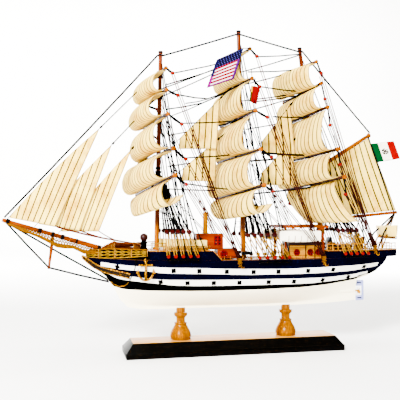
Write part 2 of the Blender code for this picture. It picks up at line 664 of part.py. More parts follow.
def stay_sails():
    """Jibs and staysails, each a bellied sheet between its four corners, sewn to its stay."""
    for name, fore_top, fore_low, aft_low, aft_top, roach, lee, mast in STAY_SAILS:
        luff_low, luff_high = Vector(fore_top), Vector(aft_top)
        along = (luff_high - luff_low).normalized()
        solid = bmesh.new()
        bmesh.ops.create_grid(solid, x_segments=4, y_segments=6, size=1.0)
        for vert in solid.verts:
            u = (vert.co.x + 1) / 2
            v = (vert.co.y + 1) / 2
            low = Vector(fore_low).lerp(Vector(aft_low), u)
            high = luff_low.lerp(luff_high, u) + Vector((-along.y, along.x)) * (roach * 4 * u * (1 - u))
            point = low.lerp(high, v)
            to_port = lee * u * (1 - v) + STAY_SAIL_BELLY * 16 * u * (1 - u) * v * (1 - v)
            vert.co = (point.x, -to_port, point.y)
        start = stay_start(luff_low, luff_high, mast)
        end = luff_high + along * 1.5
        stay = rod((start.x, 0.0, start.y), (end.x, 0.0, end.y), STAY_RADIUS, sides=5)
        combine(name, [solid, stay], "sail_cloth", sheet=True)


def spanker():
    """The fore-and-aft sail between gaff and boom, with both spars in nodes of their own."""
    jaw, peak = GAFF
    combine("gaff", [rod((jaw[0], 0, jaw[1]), (peak[0], 0, peak[1]), 2.3, 1.9)], "spar_wood")
    heel, end = BOOM
    combine("boom", [rod((heel[0], 0, heel[1]), (end[0], 0, end[1]), 2.0, 1.7)], "spar_wood")
    corners = ((120.5, 238.6), (127.0, 173.4), (228.0, 183.0), (191.5, 282.4))
    solid = bmesh.new()
    bmesh.ops.create_grid(solid, x_segments=6, y_segments=6, size=1.0)
    for vert in solid.verts:
        u = (vert.co.x + 1) / 2
        v = (vert.co.y + 1) / 2
        low = Vector(corners[1]).lerp(Vector(corners[2]), u)
        high = Vector(corners[0]).lerp(Vector(corners[3]), u)
        point = low.lerp(high, v)
        vert.co = (point.x, 5.0 * 16 * u * (1 - u) * v * (1 - v), point.y)
    thicken(place("sail_spanker", solid, "sail_cloth"))


def bowsprit():
    """The bowsprit with the dolphin striker under it."""
    heel_x, heel_z = BOWSPRIT_HEEL
    tip_x, tip_z = BOWSPRIT_TIP
    combine("bowsprit", [
        rod((heel_x, 0, heel_z), (tip_x, 0, tip_z), *BOWSPRIT_RADII, sides=12),
        rod((STRIKER_TOP[0], 0, STRIKER_TOP[1]), (STRIKER_FOOT[0], 0, STRIKER_FOOT[1]), 1.5, 1.1),
    ], "spar_wood")


def bow_fittings():
    """The gilt head scroll around the stem, and an anchor on each bow."""
    rail = ((-195.5, 125.5), (-188.0, 119.5), (-176.0, 112.5), (-160.0, 106.5), (-145.0, 103.5),
            (-133.0, 101.5))
    pieces = []
    fronts = []
    for side in (-1, 1):
        line = []
        for x, z in rail:
            reach = 1.6 if x < STEM_X else hull_side(x, z) + 2.2
            line.append((x, side * reach, z))
        fronts.append(line[0])
        pieces.append(tube(line, 1.3))
    pieces.append(rod((fronts[0][0], fronts[0][1] - 0.8, fronts[0][2]),
                      (fronts[1][0], fronts[1][1] + 0.8, fronts[1][2]), 1.3, sides=6))
    combine("head_scroll", pieces, "brass")
    for name, side in (("port", -1), ("starboard", 1)):
        x = -119.0
        y = side * (hull_side(x, 121.0) + 1.7)
        arms = []
        for step in range(9):
            turn = pi * step / 8
            arms.append((x - 9.8 * cos(turn), y, 108.5 - 12.3 * sin(turn)))
        pieces = [tube(arms, 0.9), rod((x, y, 95.7), (x, y, 121.6), 1.1, sides=7),
                  rod((x - 7.5, y, 115.2), (x + 7.5, y, 115.2), 0.8, sides=5)]
        combine("anchor_" + name, pieces, "brass")


# shrouds: mast, channel's fore and aft x, channel's z, z of the ring on the mast, shrouds a side
SHROUDS = (
    ("fore", -97.0, -40.0, 121.2, 232.0, 5),
    ("main", 8.0, 59.0, 116.6, 224.0, 5),
    ("mizzen", 135.0, 174.5, 122.6, 234.0, 5),
)


def shrouds():
    """Each mast's shrouds to both sides, with their shelves and deadeyes, from one ring."""
    for mast, fore_x, aft_x, shelf_z, ring_z, count in SHROUDS:
        centre_x = mast_x(mast, ring_z)
        inner = mast_radius(mast, ring_z) + GAP + 0.25
        outer = inner + 1.3
        lean = (mast_x(mast, 300.0) - mast_x(mast, 200.0), 0.0, 100.0)
        pieces = [ring((centre_x, 0, ring_z), lean, inner, outer, 2.2)]
        for side in (-1, 1):
            shelf_in = max(hull_side(x, shelf_z) for x in (fore_x, aft_x, (fore_x + aft_x) / 2))
            pieces.append(box((fore_x - 1.5, min(side * (shelf_in + GAP), side * CHANNEL_Y), shelf_z - 1.0),
                              (aft_x + 1.5, max(side * (shelf_in + GAP), side * CHANNEL_Y), shelf_z + 0.6)))
            for number in range(count):
                t = number / (count - 1)
                foot = Vector((mix(fore_x, aft_x, t), side * (CHANNEL_Y - 1.4), shelf_z))
                head = Vector((centre_x + mix(0.4, inner + 0.2, t), side * mix(inner + 0.5, 1.2, t), ring_z))
                pieces.append(rod(foot, head, 0.55, 0.45, sides=4))
                for height in (125.0, 154.0):
                    share = (height - foot.z) / (head.z - foot.z)
                    along = (head - foot).normalized() * 1.6
                    bead = foot.lerp(head, share)
                    pieces.append(rod(bead - along, bead + along, 1.9, sides=5))
        combine("shrouds_" + mast, pieces, "black_cord")


def masthead_stay():
    """The long stay over the mastheads, from the bowsprit's tip to the gaff's peak."""
    stops = [(BOWSPRIT_TIP[0] + 2.5, 0.0, BOWSPRIT_TIP[1] + 2.9)]
    pieces = []
    for mast, height in (("fore", 383.0), ("main", 416.0), ("mizzen", 398.0)):
        x = mast_x(mast, height)
        inner = mast_radius(mast, height) + GAP + 0.25
        lean = (mast_x(mast, 300.0) - mast_x(mast, 200.0), 0.0, 100.0)
        pieces.append(ring((x, 0, height), lean, inner, inner + 1.2, 1.8))
        stops.append((x - inner - 0.6, 0.0, height))
        stops.append((x + inner + 0.6, 0.0, height))
    stops.append((GAFF[1][0] - 0.6, 0.0, GAFF[1][1] + 2.6))
    for start, end in zip(stops[::2], stops[1::2]):
        pieces.append(rod(start, end, 0.5, sides=6))
    combine("masthead_stay", pieces, "black_cord")


# flags: name, side y, corners (x, z) as top hoist, bottom hoist, bottom fly, top fly,
# and both ends (x, y, z) of the line that each flag is tied to
FLAGS = (
    ("flag_main", -56.0, (-1.3, 384.0), (-35.4, 367.2), (-48.3, 332.0), (-14.3, 344.5),
     (8.0, -54.95, 384.0), (-2.6, -56.2, 383.2)),
    ("flag_stern", 0.0, (200.5, 275.0), (209.0, 250.5), (240.5, 255.1), (232.2, 279.5),
     (196.7, 0.0, 286.0), (232.6, 0.0, 182.8)),
)


def flags():
    """The two larger flags, waved a little along their length, each on its line."""
    for name, side, top_hoist, low_hoist, low_fly, top_fly, line_start, line_end in FLAGS:
        solid = bmesh.new()
        bmesh.ops.create_grid(solid, x_segments=5, y_segments=3, size=1.0)
        for vert in solid.verts:
            u = (vert.co.x + 1) / 2
            v = (vert.co.y + 1) / 2
            low = Vector(low_hoist).lerp(Vector(low_fly), u)
            high = Vector(top_hoist).lerp(Vector(top_fly), u)
            point = low.lerp(high, v)
            vert.co = (point.x, side + 1.0 * sin(2 * pi * u), point.y)
        line = rod(line_start, line_end, STAY_RADIUS, sides=5)
        combine(name, [solid, line], "flag_cloth", sheet=True)


stand()
hull()
decks()
deck_gear()
rudder_and_propeller()
spars()
square_sails()
stay_sails()
spanker()
bowsprit()
bow_fittings()
shrouds()
masthead_stay()
flags()
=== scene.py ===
"""Looks of a wooden display model of a three-masted full-rigged ship on its stand.

The bow points along -X, port is -Y and +Z is up. Sizes are in millimetres, and each
piece is scaled to metres where it is finished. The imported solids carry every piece.
"""
from math import atan2, cos, hypot, pi, radians, sin

import bmesh
import bpy
from mathutils import Matrix, Vector


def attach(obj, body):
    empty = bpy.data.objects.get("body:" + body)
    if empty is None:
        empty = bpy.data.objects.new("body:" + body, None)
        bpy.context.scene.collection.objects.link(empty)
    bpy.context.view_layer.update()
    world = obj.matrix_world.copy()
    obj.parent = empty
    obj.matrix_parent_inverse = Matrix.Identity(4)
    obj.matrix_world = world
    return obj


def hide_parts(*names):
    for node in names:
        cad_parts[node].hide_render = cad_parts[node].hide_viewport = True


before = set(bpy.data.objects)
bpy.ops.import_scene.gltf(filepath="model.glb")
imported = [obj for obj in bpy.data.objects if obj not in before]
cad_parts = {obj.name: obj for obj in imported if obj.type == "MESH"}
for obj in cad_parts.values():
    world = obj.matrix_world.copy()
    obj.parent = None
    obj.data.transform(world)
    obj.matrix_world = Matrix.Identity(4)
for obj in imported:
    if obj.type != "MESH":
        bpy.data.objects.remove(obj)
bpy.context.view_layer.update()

# Camera and room: the model stands on a pale table that sweeps up behind it, lit by large
# soft lamps. The camera stands a little forward of the middle, just above the decks.
CAMERA_PLACE = (-0.2178, -0.8268, 0.1782)
CAMERA_YAW = radians(-11.9)
CAMERA_PITCH = radians(91.727)
camera_data = bpy.data.cameras.new("camera")
camera_data.lens = 58.46
camera_data.sensor_width = 36.0
camera_data.shift_x = -0.0025
camera_data.shift_y = -0.01425
camera_data.clip_start = 0.01
camera = bpy.data.objects.new("camera", camera_data)
camera.location = CAMERA_PLACE
camera.rotation_euler = (CAMERA_PITCH, 0.0, CAMERA_YAW)
bpy.context.scene.collection.objects.link(camera)
bpy.context.scene.camera = camera
# the photograph is a contrasty print: paper white above, deep blacks on the stand
bpy.context.scene.view_settings.look = 'AgX - Medium High Contrast'


def linear(code):
    """A #rrggbb sRGB colour as linear red, green, blue and alpha."""
    parts = [int(code[i:i + 2], 16) / 255 for i in (1, 3, 5)]
    return (*[p / 12.92 if p <= 0.04045 else ((p + 0.055) / 1.055) ** 2.4 for p in parts], 1.0)


def feed(tree, made, inputs):
    """Set a node's inputs to values, or link them from sockets."""
    for key, value in dict(inputs).items():
        if isinstance(value, bpy.types.NodeSocket):
            tree.links.new(value, made.inputs[key])
        else:
            made.inputs[key].default_value = value


def node(tree, kind, inputs=(), **settings):
    """Add one node: settings are its own, inputs are values or sockets to link from."""
    made = tree.nodes.new(kind)
    for key, value in settings.items():
        setattr(made, key, value)
    feed(tree, made, inputs)
    return made


def new_material(name):
    """A material with only its output and a Principled shader."""
    made = bpy.data.materials.new(name)
    made.use_nodes = True
    tree = made.node_tree
    tree.nodes.clear()
    shader = node(tree, "ShaderNodeBsdfPrincipled")
    node(tree, "ShaderNodeOutputMaterial", {"Surface": shader.outputs[0]})
    return made, tree, shader


def place(tree):
    """Where a point lies on its piece, in metres."""
    return node(tree, "ShaderNodeTexCoord").outputs["Object"]


def noise(tree, spot, scale, detail=2.0, **more):
    """Noise over a place, from 0 to 1."""
    return node(tree, "ShaderNodeTexNoise",
                {"Vector": spot, "Scale": scale, "Detail": detail, **more}).outputs[0]


def bump(tree, height, strength, distance):
    """The normal of a surface with fine relief."""
    return node(tree, "ShaderNodeBump", {"Height": height, "Strength": strength,
                                         "Distance": distance}).outputs[0]


# Matt white card, so that the shadow under the stand stays soft and pale.
card, tree, shader = new_material("white_card")
feed(tree, shader, {"Base Color": linear("#fbfaf7"), "Roughness": 0.9,
                    "Normal": bump(tree, noise(tree, place(tree), 900.0), 0.02, 0.0002)})

# the card in metres: half its width, where its floor starts behind the model, how far its strip
# is drawn out, and the bend up into the wall between two shares of the strip
CARD_HALF = 6.0
CARD_START = 1.6
CARD_STRETCH = 5.0
BEND_SHARES = (0.1, 0.5)
BEND_RADIUS = 1.3

sweep = bmesh.new()
bmesh.ops.create_grid(sweep, x_segments=2, y_segments=48, size=1.0)
for vert in sweep.verts:
    along = vert.co.y
    bent = (along - BEND_SHARES[0]) / (BEND_SHARES[1] - BEND_SHARES[0])
    turn = min(1.0, max(0.0, bent)) * pi / 2
    flat = CARD_STRETCH * min(along, BEND_SHARES[0])
    wall = CARD_STRETCH * max(0.0, along - BEND_SHARES[1])
    vert.co = (vert.co.x * CARD_HALF, CARD_START + flat + BEND_RADIUS * sin(turn),
               BEND_RADIUS * (1 - cos(turn)) + wall)
sweep_mesh = bpy.data.meshes.new("room")
sweep.to_mesh(sweep_mesh)
sweep.free()
sweep_mesh.materials.append(card)
for face in sweep_mesh.polygons:
    face.use_smooth = True
room = bpy.data.objects.new("room", sweep_mesh)
bpy.context.scene.collection.objects.link(room)

# lamps: place, what each is aimed at, size and watts; the last two light only the backdrop
LAMPS = (
    ((-1.0, -1.5, 1.1), (0.0, 0.0, 0.2), 0.5, 170.0),
    ((1.3, -1.1, 0.7), (0.0, 0.0, 0.2), 0.9, 6.0),
    ((0.0, 0.1, 1.9), (0.0, 0.0, 0.0), 1.5, 62.0),
    ((-1.6, 1.0, 1.0), (-0.6, 3.4, 0.9), 1.2, 300.0),
    ((1.6, 1.0, 1.0), (0.6, 3.4, 0.9), 1.2, 300.0),
)
for number, (spot, aim, size, watts) in enumerate(LAMPS):
    lamp = bpy.data.lights.new("lamp_%d" % number, 'AREA')
    lamp.size = size
    lamp.energy = watts
    hung = bpy.data.objects.new("lamp_%d" % number, lamp)
    hung.location = spot
    hung.rotation_euler = (Vector(aim) - Vector(spot)).to_track_quat('-Z', 'Y').to_euler()
    bpy.context.scene.collection.objects.link(hung)
world = bpy.data.worlds.new("soft_daylight")
world.use_nodes = True
world.node_tree.nodes["Background"].inputs[0].default_value = linear("#fdfcfa")
world.node_tree.nodes["Background"].inputs[1].default_value = 0.24
bpy.context.scene.world = world

# Stand: a softwood block whose slopes and edge are sprayed with black lacquer, while its top
# is left as clear-varnished pine. A shallow routed step runs between the slope and the edge.
BASE_LENGTH = 285.0
BASE_WIDTH = 58.8
BASE_BAND = 7.4
BASE_HEIGHT = 18.0
BASE_CHAMFER = 9.1
BASE_LEDGE = 0.9


def piece(name, solid, finishes, body="model", smooth=35.0):
    """Turn a bmesh in millimetres into a finished piece in metres that rides on a body."""
    bmesh.ops.scale(solid, verts=solid.verts, vec=(0.001, 0.001, 0.001))
    mesh = bpy.data.meshes.new(name)
    solid.to_mesh(mesh)
    solid.free()
    for finish in (finishes if isinstance(finishes, (list, tuple)) else [finishes]):
        mesh.materials.append(finish)
    if smooth:
        for face in mesh.polygons:
            face.use_smooth = True
        if smooth < 180:
            mesh.set_sharp_from_angle(angle=radians(smooth))
    made = bpy.data.objects.new(name, mesh)
    bpy.context.scene.collection.objects.link(made)
    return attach(made, body)


def block(low, high, bevel=0.0, segments=2):
    """A block between two corners, with its edges rounded."""
    solid = bmesh.new()
    bmesh.ops.create_cube(solid, size=1.0)
    bmesh.ops.scale(solid, verts=solid.verts, vec=[b - a for a, b in zip(low, high)])
    bmesh.ops.translate(solid, verts=solid.verts, vec=[(a + b) / 2 for a, b in zip(low, high)])
    if bevel:
        bmesh.ops.bevel(solid, geom=solid.edges, offset=bevel, segments=segments,
                        profile=0.5, affect='EDGES', material=-1)
    return solid


def join(solids):
    """Several closed shapes in one bmesh."""
    whole = bmesh.new()
    for solid in solids:
        carrier = bpy.data.meshes.new("carrier")
        solid.to_mesh(carrier)
        solid.free()
        whole.from_mesh(carrier)
        bpy.data.meshes.remove(carrier)
    return whole


def moved(solid, way):
    """A shape carried along."""
    bmesh.ops.translate(solid, verts=solid.verts, vec=way)
    return solid


def stretched(tree, spot, scale):
    """A place with its axes stretched."""
    return node(tree, "ShaderNodeMapping", {"Vector": spot, "Scale": scale}).outputs[0]


def remap(tree, value, low=0.0, high=1.0, new_low=0.0, new_high=1.0):
    """A value carried from one range to another."""
    return node(tree, "ShaderNodeMapRange", {0: value, 1: low, 2: high, 3: new_low, 4: new_high}).outputs[0]


def between(tree, share, first, second):
    """A number between two others."""
    return node(tree, "ShaderNodeMix", {0: share, 2: first, 3: second}, data_type='FLOAT').outputs[0]


def layered(tree, mask, under, over):
    """One colour over another where the mask is 1."""
    return node(tree, "ShaderNodeMix", {0: mask, 6: under, 7: over}, data_type='RGBA').outputs[2]


def toned(tree, value, low, dark, high, light):
    """A colour that is dark up to one value and light from another on."""
    ramp = node(tree, "ShaderNodeValToRGB", {0: value})
    for stop, position, code in zip(ramp.color_ramp.elements, (low, high), (dark, light)):
        stop.position = position
        stop.color = linear(code)
    return ramp.outputs[0]


def wood(name, light, dark, axis, ring=1.1, gloss=0.28, coat=0.6):
    """Varnished wood: grain lines of a ring's width in millimetres, drawn out along an axis."""
    made, tree, shader = new_material(name)
    spot = place(tree)
    # grain is about twelve times longer than wide
    stretch = [1000.0 / ring] * 3
    stretch["XYZ".index(axis)] /= 12.0
    grain = noise(tree, stretched(tree, spot, stretch), 1.0, 5.0, Roughness=0.62, Distortion=0.35)
    figure = noise(tree, stretched(tree, spot, [s / 9.0 for s in stretch]), 1.0)
    feed(tree, shader, {
        "Base Color": toned(tree, between(tree, 0.4, grain, figure), 0.36, dark, 0.6, light),
        "Roughness": remap(tree, figure, new_low=gloss - 0.06, new_high=gloss + 0.1),
        "Normal": bump(tree, grain, 0.25, 0.00005),
        "Specular IOR Level": 0.06, "Coat Weight": coat, "Coat Roughness": 0.12})
    return made


def paint(name, code, roughness, fleck=None, grit=0.8, coat=0.4, shade=0.85, shine=0.15):
    """Brushed enamel: a slightly uneven colour with fine brush relief, and small flecks of a second colour."""
    made, tree, shader = new_material(name)
    spot = place(tree)
    cloud = noise(tree, spot, 70.0, 3.0)
    fine = noise(tree, spot, 1000.0 / grit)
    colour = layered(tree, cloud, [c * shade for c in linear(code)[:3]] + [1.0], linear(code))
    if fleck:
        colour = layered(tree, remap(tree, fine, 0.66, 0.74), colour, linear(fleck))
    feed(tree, shader, {
        "Base Color": colour, "Normal": bump(tree, fine, 0.12, 0.0001),
        "Roughness": remap(tree, cloud, new_low=roughness * 0.8, new_high=roughness * 1.3),
        "Specular IOR Level": shine, "Coat Weight": coat, "Coat Roughness": 0.1})
    return made


black_lacquer = paint("black_lacquer", "#010101", 0.3, fleck="#4c3410", grit=0.9, coat=0.004, shine=0.02)
clear_pine = wood("clear_pine", "#cc8f3a", "#8a5b29", "X", ring=1.6, gloss=0.35, coat=0.06)

base = block((-BASE_LENGTH / 2, -BASE_WIDTH / 2, 0.0), (BASE_LENGTH / 2, BASE_WIDTH / 2, BASE_BAND))
top = max(base.faces, key=lambda face: face.calc_center_median().z)
bmesh.ops.inset_region(base, faces=[top], thickness=BASE_LEDGE, depth=0.0)
raised = bmesh.ops.extrude_face_region(base, geom=[top])
rim = [item for item in raised["geom"] if isinstance(item, bmesh.types.BMVert)]
base.faces.remove(top)
for vert in rim:
    vert.co.x = (BASE_LENGTH / 2 - BASE_CHAMFER) * (1 if vert.co.x > 0 else -1)
    vert.co.y = (BASE_WIDTH / 2 - BASE_CHAMFER) * (1 if vert.co.y > 0 else -1)
    vert.co.z = BASE_HEIGHT
bmesh.ops.recalc_face_normals(base, faces=base.faces)
crown = max(base.faces, key=lambda face: face.calc_center_median().z)
crown.material_index = 1
bmesh.ops.bevel(base, geom=base.edges, offset=0.5, segments=2, profile=0.5, affect='EDGES', material=-1)
stand_base = piece("stand_base_block", base, [black_lacquer, clear_pine], smooth=30)
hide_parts("stand_base")

# Pedestals: turned from birch and dipped in amber varnish that pools in the grooves. Each is
# sawn with a slot for the keel and glued into the base, with a bead of varnish round its foot.
PEDESTALS = {"pedestal_fore": -70.3, "pedestal_aft": 71.3}
KEEL_HALF = 1.5
# the slot's cheeks stand 1.8 mm off the middle
SLOT_HALF = KEEL_HALF + 0.3
SLOT_DEPTH = 1.5
PEDESTAL_TOP = 58.2
PEDESTAL_PROFILE = ((0.0, 58.2), (5.5, 58.2), (5.8, 57.9), (5.8, 52.2), (6.4, 51.9), (8.1, 51.7), (8.5, 51.2),
                    (8.6, 49.6), (8.3, 48.2), (7.2, 46.9), (5.9, 46.0), (5.6, 45.0), (5.5, 42.6), (5.7, 40.2),
                    (6.2, 39.6), (7.9, 39.1), (8.2, 38.6), (8.2, 37.9), (7.5, 37.3), (7.6, 36.6), (8.6, 34.4),
                    (10.1, 31.8), (11.6, 29.2), (12.8, 26.4), (13.4, 23.8), (13.5, 22.2), (13.1, 20.6),
                    (12.6, 19.5), (13.0, 19.1), (13.0, 18.3), (0.0, 18.3))
amber_varnish = wood("amber_varnish", "#8a5400", "#4a2200", "Z", ring=1.4, gloss=0.18, coat=0.03)


def turned(profile, sides=48):
    """A shape turned on a lathe from its (radius, height) outline."""
    solid = bmesh.new()
    line = [solid.verts.new((r, 0.0, z)) for r, z in profile]
    edges = [solid.edges.new(pair) for pair in zip(line, line[1:])]
    bmesh.ops.spin(solid, geom=line + edges, cent=(0, 0, 0), axis=(0, 0, 1), dvec=(0, 0, 0),
                   angle=2 * pi, steps=sides, use_merge=True, use_duplicate=False)
    bmesh.ops.remove_doubles(solid, verts=solid.verts, dist=0.001)
    bmesh.ops.recalc_face_normals(solid, faces=solid.faces)
    return solid


for name, x in PEDESTALS.items():
    pedestal = turned(PEDESTAL_PROFILE)
    for side in (-1, 1):
        bmesh.ops.bisect_plane(pedestal, geom=list(pedestal.verts) + list(pedestal.edges) + list(pedestal.faces),
                               plane_co=(0, side * SLOT_HALF, 0), plane_no=(0, side, 0), dist=0.0001)
    inside = [face for face in pedestal.faces if face.calc_center_median().z > PEDESTAL_TOP - 0.2
              and abs(face.calc_center_median().y) < SLOT_HALF]
    lowered = bmesh.ops.extrude_face_region(pedestal, geom=inside)
    floor_verts = [item for item in lowered["geom"] if isinstance(item, bmesh.types.BMVert)]
    bmesh.ops.delete(pedestal, geom=inside, context='FACES')
    bmesh.ops.translate(pedestal, verts=floor_verts, vec=(0, 0, -SLOT_DEPTH))
    bmesh.ops.recalc_face_normals(pedestal, faces=pedestal.faces)
    moved(pedestal, (x, 0, 0))
    made = piece(name + "_turned", pedestal, amber_varnish, smooth=38)
    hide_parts(name)

# Hull: a solid block of wood carved to shape and sanded, sprayed navy above the waterline and
# off-white below it. The two white strakes are thin strips glued on, each drilled for a row of
# gun ports. Gloss enamel gives a soft line of light along each edge.
STEM_X = -193.0
COUNTER_END_X = 217.0
# x, z of the keel, half breadth at the sheer, z of the sheer, fullness, hollow
STATIONS = (
    (-193.0, 122.6, 0.9, 124.6, 1.2, 1.0),
    (-186.0, 117.0, 5.0, 123.9, 1.2, 1.0),
    (-176.0, 108.0, 10.4, 123.3, 1.2, 1.05),
    (-166.0, 99.5, 14.8, 122.8, 1.2, 1.1),
    (-156.0, 86.0, 18.5, 122.3, 1.25, 1.15),
    (-148.0, 70.0, 21.0, 121.9, 1.3, 1.2),
    (-138.0, 60.5, 23.6, 121.5, 1.4, 1.2),
    (-120.0, 57.3, 27.0, 120.9, 1.7, 1.15),
    (-95.0, 57.0, 30.0, 120.3, 2.2, 1.05),
    (-60.0, 57.0, 31.6, 119.7, 2.8, 1.0),
    (-15.0, 57.0, 32.0, 119.3, 3.1, 1.0),
    (35.0, 57.0, 32.0, 119.3, 3.0, 1.0),
    (75.0, 57.1, 31.6, 119.4, 2.5, 1.05),
    (105.0, 57.8, 30.8, 119.6, 1.9, 1.2),
    (130.0, 58.8, 29.6, 119.8, 1.5, 1.45),
    (150.0, 60.0, 28.2, 120.0, 1.25, 1.65),
    (170.5, 61.6, 26.2, 120.2, 1.1, 1.9),
    (171.0, 89.5, 26.2, 120.2, 1.5, 1.05),
    (186.0, 93.5, 23.6, 120.4, 1.5, 1.0),
    (201.0, 100.6, 18.8, 120.5, 1.5, 1.0),
    (212.0, 109.5, 11.5, 120.5, 1.6, 1.0),
    (217.0, 115.6, 4.5, 120.5, 1.6, 1.0),
)
KEEL_SHARE = 0.03
# lines of the paint on the side, as x and z; a strake lies between its lower and its upper line
WATERLINE = ((-178, 98.5), (-167, 93.9), (-156, 87.2), (-145, 84.1), (-134, 83.3), (-112, 82.1), (-67, 81.4),
             (-32, 80.9), (3, 81.2), (39, 81.6), (63, 82.2), (88, 82.5), (100, 83.2), (112, 84.0),
             (125, 84.7), (138, 86.2), (150, 87.7), (163, 89.5), (176, 92.5), (186, 96.5))
LOWER_STRAKE = (((-162, 102.9), (-155.6, 99.2), (-150, 97.4), (-145, 96.4), (-134, 94.9), (-112, 92.2),
                 (-101, 91.0), (-89, 89.7), (-78, 88.7), (-55, 88.0), (-20, 87.6), (39, 87.5), (75, 87.3),
                 (100, 87.6), (112, 88.3), (125, 89.1), (138, 90.0), (150, 91.1), (163, 92.6), (176, 95.3),
                 (192, 99.2)),
                ((-162, 103.4), (-155.6, 101.8), (-150, 101.2), (-145, 101.0), (-134, 100.2), (-123, 99.0),
                 (-112, 97.4), (-89, 96.1), (-55, 95.6), (-20, 95.1), (15, 95.0), (63, 94.7), (100, 94.6),
                 (125, 94.9), (138, 95.6), (150, 96.4), (163, 97.4), (176, 99.4), (192, 101.6)))
UPPER_STRAKE = (((-174, 113.6), (-167, 112.4), (-156, 110.6), (-134, 108.2), (-123, 107.6), (-112, 106.6),
                 (-101, 105.1), (-89, 104.2), (-44, 103.1), (-20, 102.2), (-9, 101.5), (15, 100.9),
                 (88, 100.8), (125, 101.5), (150, 102.2), (163, 103.1), (180, 105.6), (196, 108.0),
                 (213, 111.4)),
                ((-174, 118.6), (-167, 117.7), (-156, 115.9), (-145, 114.9), (-134, 113.9), (-112, 112.7),
                 (-89, 111.4), (-67, 110.9), (-44, 110.3), (-20, 109.1), (3, 108.6), (39, 108.0),
                 (63, 107.7), (88, 108.3), (138, 109.3), (163, 110.1), (176, 111.2), (196, 112.8),
                 (213, 114.6)))
STRAKE_ENDS = ((-162, 186), (-174, 198))
STRAKE_RISE = 0.35


def mix(a, b, t):
    """A value between two others."""
    return a + (b - a) * t


def read(line, x):
    """The second value of a list of (x, value) points, read straight between them."""
    if x <= line[0][0]:
        return line[0][1]
    for (x0, v0), (x1, v1) in zip(line, line[1:]):
        if x <= x1:
            return mix(v0, v1, (x - x0) / (x1 - x0))
    return line[-1][1]


def station_at(x):
    """The hull's station values at any x."""
    low = [row for row in STATIONS if row[0] <= x] or [STATIONS[0]]
    high = [row for row in STATIONS if row[0] > x] or [STATIONS[-1]]
    if high[0][0] == low[-1][0]:
        return low[-1]
    t = (x - low[-1][0]) / (high[0][0] - low[-1][0])
    return tuple(mix(a, b, t) for a, b in zip(low[-1], high[0]))


def hull_side(x, z):
    """Half the hull's width at a point of its side."""
    _, keel, breadth, sheer, full, hollow = station_at(x)
    t = min(1.0, max(0.0, (z - keel) / (sheer - keel)))
    above = max(0.0, t - KEEL_SHARE) / (1.0 - KEEL_SHARE)
    least = min(KEEL_HALF, breadth * 0.6)
    return max(least, breadth * (1.0 - (1.0 - above) ** full) ** hollow)


cream_enamel = paint("cream_enamel", "#fff4d6", 0.3, grit=1.2, coat=0.06, shade=0.94)
navy_enamel = paint("navy_enamel", "#010114", 0.22, fleck="#061850", grit=1.1, coat=0.001, shade=0.4,
                    shine=0.0)
black_enamel = paint("black_enamel", "#010101", 0.22, fleck="#0a0a12", grit=1.1, coat=0.001, shine=0.0)
strake_white = paint("strake_white", "#faf6ea", 0.28, grit=1.0, coat=0.1, shade=0.93)


def calc(tree, operation, first, second=0.5):
    """One sum on two values."""
    return node(tree, "ShaderNodeMath", {0: first, 1: second}, operation=operation).outputs[0]


def off_middle(tree, value):
    """How far a value lies from the middle of its whole step."""
    return calc(tree, 'ABSOLUTE', calc(tree, 'SUBTRACT', calc(tree, 'FRACT', value)))


def planking(name, light, dark, seam, width=2.6):
    """Deck strips that run fore and aft: every strip has its own tone, with dark joints between."""
    made, tree, shader = new_material(name)
    spot = place(tree)
    row = calc(tree, 'DIVIDE', node(tree, "ShaderNodeSeparateXYZ", {0: spot}).outputs[1], width / 1000)
    joint = remap(tree, off_middle(tree, row), 0.41, 0.47)
    tone = node(tree, "ShaderNodeTexWhiteNoise", {"W": calc(tree, 'FLOOR', row)},
                noise_dimensions='1D').outputs[0]
    grain = noise(tree, stretched(tree, spot, (90.0, 1100.0, 1100.0)), 1.0, 4.0)
    strip = toned(tree, between(tree, 0.45, grain, tone), 0.25, dark, 0.7, light)
    feed(tree, shader, {
        "Base Color": layered(tree, joint, strip, linear(seam)),
        "Normal": bump(tree, calc(tree, 'SUBTRACT', grain, joint), 0.4, 0.0002),
        "Roughness": 0.45, "Coat Weight": 0.2})
    return made


pine_planks = planking("pine_planks", "#b67206", "#653e1c", "#1c0c04")

# rows of the side, from the keel up: each is a paint line or a share of the way to the next
COLUMN_STEP = 3.2
CREAM, NAVY, WHITE, BLACK, PLANKS = range(5)
xs = sorted({round(mix(a[0], b[0], k / n), 3) for a, b in zip(STATIONS, STATIONS[1:])
             for n in [max(1, int((b[0] - a[0]) / COLUMN_STEP + 0.5))] for k in range(n + 1)})
below = [0.0, KEEL_SHARE, 0.05, 0.08, 0.12, 0.17, 0.23, 0.3, 0.38, 0.46, 0.55, 0.64, 0.73, 0.82, 0.91]
hull = bmesh.new()
rows_at = []
for x in xs:
    _, keel, _, sheer, _, _ = station_at(x)
    water = max(keel + 0.3, min(read(WATERLINE, x), sheer - 8.0))
    heights = [mix(keel, water, t) for t in below] + [water]
    # painted lines pinch together where the side runs out under the counter and the stem
    last = water
    for number, line in enumerate(LOWER_STRAKE + UPPER_STRAKE):
        mark = min(max(read(line, x), last + 0.25), sheer - 0.3 * (5 - number))
        heights.extend((mix(last, mark, 0.5), mark))
        last = mark
    heights.extend((mix(last, sheer, 0.5), sheer))
    rows_at.append(heights)
loops = []
for x, heights in zip(xs, rows_at):
    port, starboard = [[(x, side * hull_side(x, z), z) for z in heights] for side in (-1, 1)]
    loops.append([hull.verts.new(p) for p in port + list(reversed(starboard))])
rows = len(rows_at[0])
count = len(loops[0])
STRAKE_ROWS = {len(below) + 3: 0, len(below) + 2: 0, len(below) + 7: 1, len(below) + 6: 1}
